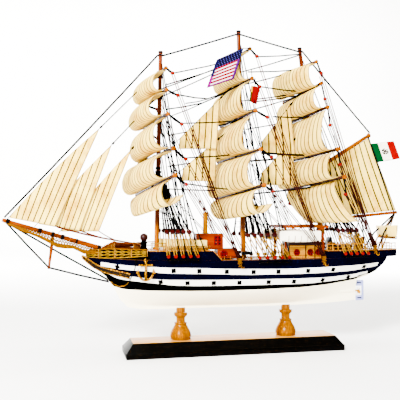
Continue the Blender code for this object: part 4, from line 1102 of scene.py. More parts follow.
UPPER_HOUSE = ((-51.0, -10.0, 132.3), (-17.0, 10.0, 152.3))
LOWER_HOUSE = ((-23.0, -10.0, 120.0), (1.0, 10.0, 133.0))
walls = [block(UPPER_HOUSE[0], (-17.0, 10.0, 151.9), 0.4), block(LOWER_HOUSE[0], (1.0, 10.0, 132.6), 0.4)]
red, eyes, trim, dark = [], [], [], []
for low, high in (UPPER_HOUSE, LOWER_HOUSE):
    trim.append(slab(low, (high[0], high[1], high[2] - 0.7), 1.0, 1.2))
    dark.append(slab(low, (high[0], high[1], high[2] + 0.2), 0.4, 0.9))
    dark.append(block((low[0] - 0.5, low[1] - 0.5, low[2]), (high[0] + 0.5, high[1] + 0.5, low[2] + 1.2),
                      0.2))
    for x in (low[0], high[0]):
        for y in (low[1], high[1]):
            trim.append(block((x - 0.6, y - 0.6, low[2] + 0.6), (x + 0.6, y + 0.6, high[2] - 0.8), 0.2))
for side in (-1, 1):
    # red panel of two rows of three eyes, a door and a pane forward of it
    red.append(block((-28.6, side * 10.6 - 0.6, 138.0), (-19.4, side * 10.6 + 0.6, 149.8), 0.35))
    for row in range(3):
        for column in range(2):
            eyes.append(bead(1.35, (1, 0.4, 1), (-26.3 + 4.6 * column, side * 11.2, 140.2 + 3.7 * row)))
    dark.append(block((-48.2, side * 10.15 - 0.3, 136.5), (-43.8, side * 10.15 + 0.3, 147.5), 0.2))
    trim.append(block((-48.7, side * 10.1 - 0.25, 147.4), (-43.3, side * 10.1 + 0.35, 148.2), 0.1))
    disc, dots = drilled_disc((-15.5, side * 10.1, 126.6), side, 5.0, 4)
    red.append(disc)
    eyes.extend(dots)
made = piece("fore_house", join(walls), house_amber, smooth=30)
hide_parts("deck_house_fore")
piece("fore_house_trim", join(trim), house_amber, smooth=30)
piece("fore_house_bands", join(dark), maroon, smooth=30)

MID_HOUSE = ((71.0, -16.0, 120.0), (117.0, 16.0, 138.0))
walls = [block(MID_HOUSE[0], (117.0, 16.0, 137.6), 0.4),
         block((72.0, -14.0, 137.0), (116.5, 14.0, 141.4), 0.5)]
trim, dark = [], []
dark.append(slab(MID_HOUSE[0], (117.0, 16.0, 137.4), 1.0, 1.5))
dark.append(block((71.6, -14.6, 138.4), (116.9, 14.6, 141.0), 0.3))
trim.append(slab((72.0, -14.0, 137.0), (116.5, 14.0, 141.6), 0.9, 0.9))
for x in (71.0, 94.0, 106.8, 117.0):
    for side in (-1, 1):
        dark.append(block((x - 0.7, side * 16.1 - 0.5, 120.4), (x + 0.7, side * 16.1 + 0.5, 137.0), 0.2))
for side in (-1, 1):
    for x in (81.5, 100.4, 111.8):
        disc, dots = drilled_disc((x, side * 16.1, 127.6), side, 4.4, 4)
        red.append(disc)
        eyes.extend(dots)
made = piece("mid_house", join(walls), house_cream, smooth=30)
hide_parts("deck_house_mid")
piece("mid_house_trim", join(trim), house_cream, smooth=30)
piece("mid_house_bands", join(dark), maroon, smooth=30)
piece("house_panels", join(red), signal_red, smooth=40)
piece("house_eyes", join(eyes), pitch_black)

# Funnel: a length of dowel dipped in yellow, its cap and foot ring turned a little proud, with a
# black mouth bored into the top.
funnel_yellow = paint("funnel_yellow", "#8e5600", 0.24, fleck="#e0b050", grit=0.9, coat=0.03, shade=0.6,
                      shine=0.08)
FUNNEL_X = -38.0
chimney = turned(((0.0, 152.6), (4.0, 152.6), (4.0, 153.6), (3.3, 154.2), (3.05, 156.0), (2.95, 176.6),
                  (3.25, 177.0), (3.25, 178.2), (2.95, 178.6), (2.95, 180.2), (2.7, 180.5), (2.2, 180.5),
                  (2.1, 177.6), (0.0, 177.6)), 32)
moved(chimney, (FUNNEL_X, 0, 0))
made = piece("funnel_dowel", chimney, funnel_yellow)
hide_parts("funnel")
# a thin black lining inside the bored mouth
mouth_lining = turned(((0.0, 177.7), (2.05, 177.7), (2.15, 180.3), (2.0, 180.4), (1.8, 177.9), (0.0, 177.9)), 24)
moved(mouth_lining, (FUNNEL_X, 0, 0))
piece("funnel_mouth", mouth_lining, pitch_black)

# Capstan on the head deck: a black turned post with a cream collar and a red ball glued on top.
# Only the ball is polished.
post = turned(((0.0, 132.0), (5.0, 132.0), (5.2, 133.2), (4.2, 134.6), (3.7, 137.0), (3.9, 140.0),
               (4.6, 141.6),
               (3.6, 142.8), (3.2, 144.4), (0.0, 144.4)), 24)
collar = turned(((0.0, 143.2), (3.0, 143.2), (3.3, 144.0), (2.8, 144.9), (0.0, 144.9)), 24)
ball = bmesh.new()
bmesh.ops.create_uvsphere(ball, u_segments=28, v_segments=18, radius=5.2)
moved(ball, (0, 0, 148.3))
CAPSTAN_X = -118.0
for solid in (post, collar, ball):
    moved(solid, (CAPSTAN_X, 0, 0))
made = piece("capstan_ball", ball, maroon)
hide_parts("capstan")
piece("capstan_post", post, black_enamel)
piece("capstan_collar", collar, strake_white)

# Skylight and wheel stand on the poop: a red-brown coaming under a pitched lid with gold bars,
# then the ship's wheel of eight turned spokes on its post, all in brown stain.
made = piece("skylight_coaming", join([block((140.0, -8.0, 130.3), (163.0, 8.0, 135.4), 0.3),
                                       block((139.4, -8.6, 135.0), (163.6, 8.6, 136.0), 0.3)]), maroon,
                                       smooth=30)
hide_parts("skylight")
lid = bmesh.new()
bottom = [lid.verts.new((x, y, 135.9)) for x, y in ((139.8, -8.2), (163.2, -8.2), (163.2, 8.2), (139.8, 8.2))]
ridge = [lid.verts.new((x, 0.0, 138.4)) for x in (142.0, 161.0)]
lid.faces.new(list(reversed(bottom)))
lid.faces.new((bottom[0], bottom[1], ridge[1], ridge[0]))
lid.faces.new((bottom[2], bottom[3], ridge[0], ridge[1]))
lid.faces.new((bottom[1], bottom[2], ridge[1]))
lid.faces.new((bottom[3], bottom[0], ridge[0]))
piece("skylight_lid", lid, pitch_black, smooth=20)
panes = []
for k in range(5):
    x = 142.5 + 4.5 * k
    for side in (-1, 1):
        panes.append(bar((x, side * 7.8, 136.4), (x, side * 0.6, 138.6), [(0.0, 0.35), (7.4, 0.35)], 8))
piece("skylight_bars", join(panes), gilt_edge)
WHEEL = Vector((182.0, 0, 142.0))
rim = []
for radius, thick in ((4.6, 0.7), (3.2, 0.4)):
    rim.append((ring_points(WHEEL, (1, 0, 0), radius, 28), thick))
tubes("wheel_rim", rim, bowsprit_wood, sides=8)
spokes = [bar((WHEEL.x - 1.3, 0, WHEEL.z), (WHEEL.x + 1.3, 0, WHEEL.z),
              [(0.0, 0.9), (0.5, 1.3), (2.1, 1.3), (2.6, 0.9)], 16)]
for k in range(8):
    angle = 2 * pi * k / 8
    out = Vector((0, cos(angle), sin(angle)))
    spokes.append(bar(WHEEL + out * 0.8, WHEEL + out * 6.0,
                      [(0.0, 0.35), (2.6, 0.45), (4.0, 0.3), (4.4, 0.5), (5.0, 0.5), (5.2, 0.3)], 8))
spokes.append(turned(((0.0, 130.3), (2.6, 130.3), (2.6, 131.2), (1.5, 132.0), (1.2, 135.0), (1.7, 138.0),
                      (1.3, 140.4), (0.0, 141.0)), 20))
moved(spokes[-1], (WHEEL.x, 0, 0))
made = piece("wheel_and_post", join(spokes), bowsprit_wood)
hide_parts("wheel_stand")

# Rack over the mid house: amber posts and cross timbers with long rails on them. Gold cord is
# crossed over the after ends, and turned red-brown battens lie along the rails.
RACK_X = (64.0, 115.8)
RACK_Y = 22.0
WAIST_BOAT_Y = 35.0
rack = []
for x in RACK_X:
    rack.append(block((x - 1.4, -38.0, 160.0), (x + 1.4, 38.0, 162.8), 0.3))
    for side in (-1, 1):
        y = side * RACK_Y
        rack.append(block((x - 1.4, y - 1.4, 120.0), (x + 1.4, y + 1.4, 161.8), 0.3))
        rack.append(block((x - 2.1, y - 2.1, 120.0), (x + 2.1, y + 2.1, 121.6), 0.3))
        lean = 1 if x > 90 else -1
        rack.append(bar((x - 3.0 * lean, side * WAIST_BOAT_Y, 161.0),
                        (x - 13.0 * lean, side * WAIST_BOAT_Y, 156.6),
                        [(0.0, 0.6), (10.9, 0.6)], 8))
made = piece("boat_rack_posts", join(rack), house_amber, smooth=30)
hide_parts("boat_frame")
rails = []
for side in (-1, 1):
    y = side * RACK_Y
    rails.append(block((58.0, y - 1.6, 160.6), (119.0, y + 1.6, 163.4), 0.4))
    y = side * WAIST_BOAT_Y
    rails.append(block((61.0, y - 0.9, 160.2), (118.0, y + 0.9, 162.2), 0.3))
for y in (-16.0, -9.6, -3.2, 3.2, 9.6, 16.0):
    rails.append(block((60.5, y - 1.1, 162.6), (118.6, y + 1.1, 163.8), 0.3))
piece("boat_rack_rails", join(rails), bowsprit_wood, smooth=30)
SQUARE_TURN = ((-1, -1), (0, -1.05), (1, -1), (1.05, 0), (1, 1), (0, 1.05), (-1, 1), (-1.05, 0), (-1, -1))
ties = []
for side in (-1, 1):
    for x in (105.0, 110.0, 115.0):
        for lean in (-1, 1):
            ties.append(([Vector((x - 2.0 * lean, side * 23.8, 164.0)), Vector((x, side * 24.0, 161.8)),
                          Vector((x + 2.0 * lean, side * 23.8, 159.8))], 0.45))
    y = side * RACK_Y
    for x in RACK_X:
        for turn in range(5):
            z = 157.6 - turn * 0.9
            ties.append(([Vector((x + a * 1.75, y + b * 1.75, z)) for a, b in SQUARE_TURN], 0.42))
        # a brown and gold knot low on each post
        for turn in range(6):
            ring = ring_points((x, y, 128.0 - turn * 0.95), (0.1 * (turn % 3 - 1), 0, 1),
                               2.3 + 0.25 * (turn % 2), 14)
            ties.append((ring, 0.55))
tubes("rack_ties", ties, gold_net, sides=6)

# Benches at the main mast's foot and on the poop: a dark box lid on two golden posts, turned and
# glued down.
BENCHES = ((8.0, 22.0, 12.0), (130.0, 138.0, 10.0))
posts, lids = [], []
for start, end, y in BENCHES:
    floor = 120.0 if start < 119.0 else 130.3
    for side in (-1, 1):
        lids.append(block((start, side * y - 3.0, floor + 5.2), (end, side * y + 3.0, floor + 9.2), 0.4))
        for x in (start + 1.6, end - 1.6):
            posts.append(upright((x, side * y, floor),
                                 ((0.0, 1.4), (0.8, 1.4), (1.2, 0.8), (4.4, 0.8), (5.0, 1.2),
                                                        (5.6, 1.2)), 12))
piece("bench_lids", join(lids), pitch_black, smooth=30)
piece("bench_posts", join(posts), gilt_edge)

# Companion and binnacle on the poop, and the ropes of the fore deck's rail: boxes glued up from
# thin board, dark red with gold edges under black hoods, and two pale gold cords on gilt pins.
box, hoods, edges = [], [], []
for start, end, half, low, high in ((130.6, 138.2, 6.2, 130.3, 140.6), (171.0, 179.5, 4.4, 130.3, 146.0)):
    box.append(block((start, -half, low), (end, half, high), 0.3))
    for z in (low + 0.8, (low + high) / 2, high - 0.6):
        edges.append(block((start - 0.5, -half - 0.5, z - 0.55), (end + 0.5, half + 0.5, z + 0.55), 0.2))
    hood = block((start - 0.4, -half - 0.6, high + 0.1),
                 (end - (end - start) * 0.35, half + 0.6, high + 6.4), 0.4)
    for corner in hood.verts:
        if corner.co.z > high + 3.0 and corner.co.x < start + 2.0:
            corner.co.x += 3.4
    hoods.append(hood)
piece("companion_boxes", join(box), maroon, smooth=30)
piece("companion_hoods", join(hoods), pitch_black, smooth=30)
piece("companion_edges", join(edges), gilt_edge, smooth=30)
ropes, pins = [], []
for side in (-1, 1):
    spots = [Vector((x, side * (min(28.0, hull_side(x, 125.0)) - 2.2), 132.0))
             for x in (-112.0, -103.0, -94.5)]
    for rise, thick in ((5.0, 0.6), (9.4, 0.7)):
        ropes.append(([spot + Vector((0, 0, rise)) for spot in spots], thick))
    for spot in spots:
        pins.append(upright(spot, ((0.0, 0.9), (1.0, 0.9), (1.6, 0.55), (8.6, 0.55), (9.4, 0.9),
                                   (10.4, 0.5)), 10))
tubes("fore_rail_ropes", ropes, pale_net, sides=6)
piece("fore_rail_pins", join(pins), gilt_edge)

# Ship's boats: carved from one block of limewood and painted cream, each hollowed, with a pale
# gunwale and thwarts. The fore pair stand on the deck, the waist pair hang from the rack's rails
# under white lids.
boat_cream = paint("boat_cream", "#f2d472", 0.3, fleck="#ffffff", grit=0.8, coat=0.1, shade=0.75)
boat_white = paint("boat_white", "#fdf6e2", 0.32, coat=0.1, shade=0.9)
thwart_brown = wood("thwart_brown", "#6a3a10", "#2c1206", "Y", ring=1.0, gloss=0.4, coat=0.1)


def boat_half(share, half, bow_loss, stern_loss):
    """Half a boat's width at a share of its length, from a full bow to a square stern."""
    bow = max(0.0, (0.5 - share) * 2.0)
    stern = max(0.0, (share - 0.5) * 2.0)
    return half * (1.0 - bow_loss * bow ** 2.6) * (1.0 - stern_loss * stern ** 3.0)


def hull_of_boat(middle, length, beam, depth, along="x", hollow=0.82, rise=0.12):
    """A boat's shell: rings from keel to gunwale, pointed forward, rounded under, hollowed on top."""
    solid = bmesh.new()
    stations, turns = 25, 15
    outer, inner = [], []
    for i in range(stations):
        share = i / (stations - 1)
        bow = max(0.0, (0.5 - share) * 2.0)
        wide = boat_half(share, beam / 2, 0.96, 0.28)
        top = depth / 2 + rise * depth * bow ** 2
        keel = -depth / 2 + 0.2 * depth * bow ** 4
        x = (share - 0.5) * length
        loops = []
        for shrink in (1.0, hollow):
            loop = []
            for k in range(turns):
                angle = pi * k / (turns - 1)
                y = -cos(angle)
                full = abs(y) ** 0.75 * (1 if y > 0 else -1)
                z = top - (top - keel) * sin(angle) ** 0.6
                floor = top - (z - top) * -(0.55 if shrink < 1 else 1.0)
                loop.append(solid.verts.new((x * (0.965 if shrink < 1 else 1.0), full * wide * shrink,
                                             floor)))
            loops.append(loop)
        outer.append(loops[0])
        inner.append(loops[1])
    for near, far in zip(outer, outer[1:]):
        for k in range(turns - 1):
            solid.faces.new((near[k], near[k + 1], far[k + 1], far[k]))
    for near, far in zip(inner, inner[1:]):
        for k in range(turns - 1):
            solid.faces.new((near[k + 1], near[k], far[k], far[k + 1]))
    for near, far, deep_near, deep_far in zip(outer, outer[1:], inner, inner[1:]):
        solid.faces.new((near[0], far[0], deep_far[0], deep_near[0]))
        solid.faces.new((far[-1], near[-1], deep_near[-1], deep_far[-1]))
    for rim, deep in ((outer[0], inner[0]), (outer[-1], inner[-1])):
        for k in range(turns - 1):
            solid.faces.new((rim[k], rim[k + 1], deep[k + 1], deep[k]))
    bmesh.ops.recalc_face_normals(solid, faces=solid.faces)
    if along == "y":
        bmesh.ops.rotate(solid, verts=solid.verts, matrix=Matrix.Rotation(radians(90), 3, 'Z'))
    return moved(solid, middle)


for name, side in (("port", -1), ("starboard", 1)):
    middle = Vector((-68.5, side * 20.0, 138.7))
    made = piece("fore_boat_" + name, hull_of_boat(middle, 55.0, 12.5, 12.6), boat_cream, smooth=50)
    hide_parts("boat_fore_" + name)
    seats = [block((x - 0.9, middle.y - 5.2, 142.6), (x + 0.9, middle.y + 5.2, 143.4), 0.2)
             for x in (-84.0, -74.0, -64.0, -54.0)]
    # two chocks below the keel
    seats += [block((x - 0.7, middle.y - 3.6, 132.3), (x + 0.7, middle.y + 3.6, 134.6), 0.2)
              for x in (-80.0, -57.0)]
    piece("fore_boat_seats_" + name, join(seats), thwart_brown, smooth=30)
    middle = Vector((79.0, side * WAIST_BOAT_Y, 149.0))
    made = piece("waist_boat_" + name, hull_of_boat(middle, 54.0, 12.0, 14.0, hollow=0.9, rise=0.02),
                 boat_white,
                 smooth=50)
    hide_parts("boat_waist_" + name)
    # its cover: a domed lid of thin white board bound on with gold cord
    lid = bmesh.new()
    rings = []
    for i in range(21):
        share = i / 20
        wide = boat_half(share, 5.9, 0.93, 0.27)
        x = 79.0 + (share - 0.5) * 53.0
        dome = 1 - 0.6 * (2 * share - 1) ** 2
        rings.append([lid.verts.new((x, middle.y + wide * a, 155.7 + 1.6 * (1 - a * a) * dome + drop))
                      for a, drop in ((-1.02, -1.4), (-1.0, 0.0), (-0.6, 0.0), (0.0, 0.0), (0.6, 0.0),
                                      (1.0, 0.0),
                                      (1.02, -1.4))])
    skin(lid, rings)
    bmesh.ops.recalc_face_normals(lid, faces=lid.faces)
    piece("waist_boat_lid_" + name, lid, boat_white, smooth=60)
FORE_RAIL_Y = 27.0
lines = []
for side in (-1, 1):
    # gripes that hang each waist boat from its rail, and the dotted rail below the fore boats
    for x in (62.0, 70.5, 79.0, 87.5, 96.0):
        loop = []
        for k in range(17):
            angle = pi * k / 16
            loop.append(Vector((x, side * WAIST_BOAT_Y - 6.2 * cos(angle), 150.4 - 8.6 * sin(angle) ** 0.7)))
        lines.append((loop, 0.28))
    for x in (60.0, 98.0):
        lines.append(([Vector((x, side * WAIST_BOAT_Y, 156.0)), Vector((x, side * WAIST_BOAT_Y, 160.4))],
                      0.4))
    for z in (134.6, 137.2):
        lines.append(([Vector((x, side * FORE_RAIL_Y, z)) for x in (-97.0, -80.0, -60.0, -38.0)], 0.4))
tubes("boat_lines", lines, gold_net, sides=6)
posts = []
for side in (-1, 1):
    for k in range(24):
        posts.append(upright((-97.0 + k * 59.0 / 23, side * FORE_RAIL_Y, 132.0),
                             ((0.0, 0.6), (2.2, 0.45), (2.6, 0.75), (3.4, 0.45), (5.0, 0.45), (5.4, 0.75),
                              (6.2, 0.4)), 7))
piece("boat_rail_posts", join(posts), gilt_edge)

# Stern boat: cream, athwart the stern, with two brown cords along its lower edge that paint the shadow line
# under it. It is carried on two bent wire davits that stand in turned feet on the poop.
STERN_BOAT = Vector((221.0, 0.0, 153.4))
STERN_BOAT_LENGTH = 46.0
DAVIT_X = 207.0
DAVIT_Y = 9.0
stern_boat = hull_of_boat(STERN_BOAT, STERN_BOAT_LENGTH, 18.0, 17.2, along="y", rise=0.06)
davits = [upright((DAVIT_X, side * DAVIT_Y, 130.3), ((0.0, 1.7), (0.6, 1.7), (1.3, 1.1)), 12)
          for side in (-1, 1)]
made = piece("stern_boat", join([stern_boat] + davits), boat_cream, smooth=50)
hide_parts("boat_stern")
DAVIT_BEND = ((DAVIT_X, 130.6), (DAVIT_X, 139.0), (207.8, 143.0), (210.0, 146.0), (214.4, 148.0),
              (217.4, 148.6))
bends = [([Vector((x, side * DAVIT_Y, z)) for x, z in DAVIT_BEND], 0.9) for side in (-1, 1)]
tubes("stern_davits", bends, gilt_edge, sides=10)
# two brown cords along the boat's lower edge, as the painted shadow line under it
edge = []
for level, thick, narrow in ((-8.3, 0.9, 0.35), (-6.6, 0.7, 0.72)):
    shares = [0.04 + 0.92 * k / 22 for k in range(23)]
    for side in (-1, 1):
        edge.append(([Vector((STERN_BOAT.x + side * (boat_half(s, 9.0, 0.96, 0.28) * narrow),
                              (s - 0.5) * STERN_BOAT_LENGTH, 153.4 + level)) for s in shares], thick))
tubes("stern_boat_shadow_cords", edge, sheet_cord, sides=6)
seats = [block((STERN_BOAT.x - 7.0, y - 1.2, 157.6), (STERN_BOAT.x + 7.0, y + 1.2, 158.6), 0.2)
         for y in (-12.0, -4.0, 4.0, 12.0)]
piece("stern_boat_seats", join(seats), thwart_brown, smooth=30)

# Rudder: a flat grey plate with a rounded after edge on a round stock, hung on two black straps.
# The propeller is a brass casting with four twisted blades that turn in the plate's gap.
rudder_grey = paint("rudder_grey", "#8e94c4", 0.32, fleck="#ffffff", grit=0.7, coat=0.06, shade=0.8)
RUDDER_PROFILE = ((172.8, 60.5), (183.0, 60.9), (183.5, 62.0), (183.5, 86.8), (182.6, 88.0), (172.8, 88.0),
                  (172.8, 80.2), (180.6, 80.2), (180.6, 67.4), (172.8, 67.4))
STOCK_X = 172.8
plate = flat_plate(RUDDER_PROFILE, 1.24)
bmesh.ops.bevel(plate, geom=plate.edges, offset=0.25, segments=2, profile=0.5, affect='EDGES', material=-1)
stocks = [upright((STOCK_X, 0, 60.5), ((0.0, 0.7), (0.3, 1.1), (6.4, 1.1), (6.7, 0.8)), 16),
          upright((STOCK_X, 0, 80.4), ((0.0, 0.8), (0.3, 1.1), (7.2, 1.1), (7.6, 0.7)), 16)]
made = piece("rudder_plate", join([plate] + stocks), rudder_grey, body="rudder", smooth=30)
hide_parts("rudder")
straps = [block((173.4, -0.85, z - 0.8), (180.0, 0.85, z + 0.8), 0.2) for z in (64.0, 84.4)]
piece("rudder_straps", join(straps), black_enamel, body="rudder", smooth=30)
polished_brass, tree, shader = new_material("polished_brass")
scratch = noise(tree, place(tree), 900.0, 4.0)
feed(tree, shader, {
    "Base Color": layered(tree, scratch, linear("#8a5a14"), linear("#f0b840")),
    "Roughness": remap(tree, scratch, new_low=0.18, new_high=0.42), "Metallic": 1.0})
SHAFT_Z = 73.8
BLADE_HALVES = (1.0, 1.4, 1.7, 1.8, 1.6, 1.2, 0.5)
blades = [bar((171.3, 0, SHAFT_Z), (178.0, 0, SHAFT_Z),
              [(0.0, 1.0), (0.4, 1.2), (4.6, 1.2), (6.0, 0.8), (6.7, 0.2)],
              16)]
for number in range(4):
    blade = bmesh.new()
    rings = []
    for k, wide in enumerate(BLADE_HALVES):
        share = k / 6
        pitch = radians(mix(50, 24, share))
        chord = Vector((sin(pitch), cos(pitch), 0))
        thick = Vector((cos(pitch), -sin(pitch), 0)) * mix(0.45, 0.2, share)
        middle = Vector((0, 0, 0.8 + 4.3 * share))
        rings.append([blade.verts.new(middle + chord * a * wide + thick * b) for a, b in
                      ((-1, 0), (-0.4, 1), (0.4, 1), (1, 0), (0.4, -1), (-0.4, -1))])
    skin(blade, rings)
    bmesh.ops.recalc_face_normals(blade, faces=blade.faces)
    turn = Matrix.Translation((176.4, 0, SHAFT_Z)) @ Matrix.Rotation(radians(45 + 90 * number), 4, 'X')
    bmesh.ops.transform(blade, verts=blade.verts, matrix=turn)
    blades.append(blade)
made = piece("propeller_casting", join(blades), polished_brass, body="propeller")
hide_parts("propeller")

# Masts and yards: birch dowels, tapered by hand and dipped in red-brown varnish. Painted light changes the
# masts'
# colour by height: a lighter amber low down as a painted highlight, darker and redder above the deck houses.
# Yards are tied to the mast with black thread, and each mast ends in a black cap.
MASTS = {
    "fore": (-101.8, 132.3, -97.0, 388.7),
    "main": (13.7, 120.0, 7.3, 421.6),
    "mizzen": (124.4, 130.75, 92.6, 403.4),
}
MAST_FOOT_RADIUS = 3.2
MAST_TOP_RADIUS = 2.5
YARD_NAMES = ("royal", "topgallant", "upper_topsail", "lower_topsail", "course")
YARD_HALF = (54.0, 59.0, 68.0, 82.0, 90.0)
YARD_RADIUS = (1.9, 2.0, 2.1, 2.3, 2.4)
YARD_FORWARD = 5.0
BRACE = 5.0
YARD_Z = {
    "fore": (355.0, 327.5, 295.2, 250.9, 213.5),
    "main": (384.0, 346.0, 303.3, 254.1, 206.5),
    "mizzen": (374.0, 340.3, 308.9, 255.6, 218.8),
}
# degrees that a yard's port arm stands above level, and its extra swing aft
YARD_TILT = {
    "fore": (0.0, 0.0, 1.5, 2.5, 6.0),
    "main": (0.0, 0.0, 1.0, 1.3, 3.8),
    "mizzen": (-2.0, 3.1, 2.6, 1.7, 3.0),
}
YARD_SWING = {"fore": (0.0, 0.0, 0.0, 3.0, 3.0), "main": (0.0,) * 5, "mizzen": (0.0,) * 5}
SHROUD_RING_Z = {"fore": 232.0, "main": 224.0, "mizzen": 234.0}
STAY_RING_Z = {"fore": 383.0, "main": 416.0, "mizzen": 398.0}


def mast_x(mast, z):
    """Where a mast's axis stands at a height."""
    foot_x, foot_z, top_x, top_z = MASTS[mast]
    return mix(foot_x, top_x, (z - foot_z) / (top_z - foot_z))


def mast_radius(mast, z):
    """A mast's radius at a height."""
    _, foot_z, _, top_z = MASTS[mast]
    return mix(MAST_FOOT_RADIUS, MAST_TOP_RADIUS, (z - foot_z) / (top_z - foot_z))


def yard_point(mast, number, z, across, forward=YARD_FORWARD):
    """A point in a yard's own plane: across is +starboard, forward is ahead of the mast."""
    swing = radians(BRACE + YARD_SWING[mast][number])
    x = mast_x(mast, z) - forward * cos(swing) - across * sin(swing)
    y = across * cos(swing) - forward * sin(swing)
    return Vector((x, y, z - across * sin(radians(YARD_TILT[mast][number]))))


dipped_spar = wood("dipped_spar", "#a86006", "#441804", "Z", ring=1.0, gloss=0.2, coat=0.03)
# painted light: the poles are a lighter amber below the deck houses, as a painted highlight, and darker and
# redder above
tree = dipped_spar.node_tree
shader = next(n for n in tree.nodes if n.type == 'BSDF_PRINCIPLED')
once = shader.inputs["Base Color"].links[0].from_socket
height = node(tree, "ShaderNodeSeparateXYZ", {0: place(tree)}).outputs[2]
painted_light_split = node(tree, "ShaderNodeMix", {0: remap(tree, height, 0.156, 0.176), 6: once, 7: (0.4, 0.2, 0.4, 1.0)},
             data_type='RGBA', blend_type='MULTIPLY')
tree.links.new(painted_light_split.outputs[2], shader.inputs["Base Color"])
yard_knob = wood("yard_knob", "#8a4a02", "#4a1c02", "Y", ring=1.0, gloss=0.2, coat=0.03)
dipped_yard = wood("dipped_yard", "#3e1202", "#0e0401", "Y", ring=1.0, gloss=0.2, coat=0.03)
for mast, (foot_x, foot_z, top_x, top_z) in MASTS.items():
    foot, top = Vector((foot_x, 0, foot_z)), Vector((top_x, 0, top_z))
    length = (top - foot).length
    stops = [(0.0, MAST_FOOT_RADIUS + 0.9), (2.6, MAST_FOOT_RADIUS + 0.9), (3.6, MAST_FOOT_RADIUS)]
    for k in range(1, 8):
        reach = length * k / 8
        stops.append((reach, mix(MAST_FOOT_RADIUS, MAST_TOP_RADIUS, reach / length)))
    stops += [(length - 0.4, MAST_TOP_RADIUS), (length, MAST_TOP_RADIUS - 0.4)]
    pole = piece("mast_pole_" + mast, bar(foot, top, stops, 24), dipped_spar)
    yards, knobs = [], []
    for number, (z, half, radius) in enumerate(zip(YARD_Z[mast], YARD_HALF, YARD_RADIUS)):
        ends = [yard_point(mast, number, z, side * half) for side in (-1, 1)]
        span = (ends[1] - ends[0]).length
        tip = radius * 0.85
        stops = [(1.0, tip), (2.0, tip), (3.0, tip), (3.4, tip)]
        stops += [(span * k / 8, radius * (1 - 0.15 * abs(k / 4 - 1))) for k in range(1, 8)]
        stops += [(span - s, r) for s, r in reversed(stops[:4])]
        yards.append(bar(ends[0], ends[1], stops, 16))
        # an amber knob is pushed on each end
        knob = [(0.0, tip * 0.8), (0.5, tip + 0.5), (1.6, tip + 0.8), (3.0, tip + 0.6), (3.8, tip + 0.1)]
        knobs.append(bar(ends[0], ends[1], knob, 14))
        knobs.append(bar(ends[1], ends[0], knob, 14))
        middle = yard_point(mast, number, z, 0.0)
        yards.append(bar(Vector((mast_x(mast, z), 0, z)), middle, [(0.0, 1.2), (4.0, 1.2)], 10))
    made = piece("mast_yards_" + mast, join(yards), dipped_yard)
    piece("yard_knobs_" + mast, join(knobs), yard_knob)
    # thread lashings at each crossing, and the black caps and collars
    lashings = []
    for number, (z, radius) in enumerate(zip(YARD_Z[mast], YARD_RADIUS)):
        middle = yard_point(mast, number, z, 0.0)
        centre = Vector((mast_x(mast, z), 0, z))
        pole_radius = mast_radius(mast, z)
        along = (yard_point(mast, number, z, 1.0) - middle).normalized()
        for side in (-1, 1):
            for turn in range(3):
                push = along * (side * (1.6 + 0.8 * turn))
                lashings.append((ring_points(middle + push, along, radius + 0.22, 12), 0.34))
        for turn in range(3):
            for tilt in (-0.5, 0.5):
                axis = Vector((tilt, 0, 1.0))
                turn_at = centre + Vector((0, 0, (turn - 1) * 0.8))
                around = [p + (Vector((-2.2, 0, 0)) if p.x < centre.x - 0.5 else Vector())
                          for p in ring_points(turn_at, axis, pole_radius + 0.3, 16)]
                lashings.append((around, 0.34))
    for z in (STAY_RING_Z[mast] + 3.0, SHROUD_RING_Z[mast] - 4.0, SHROUD_RING_Z[mast] + 3.5):
        for turn in range(4):
            centre = Vector((mast_x(mast, z + turn * 0.75), 0, z + turn * 0.75))
            if centre.z < top_z - 0.5:
                lashings.append((ring_points(centre, (0, 0, 1), mast_radius(mast, z) + 0.25, 20), 0.42))
    tubes("mast_lashings_" + mast, lashings, black_thread, sides=6)
    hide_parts("mast_" + mast)

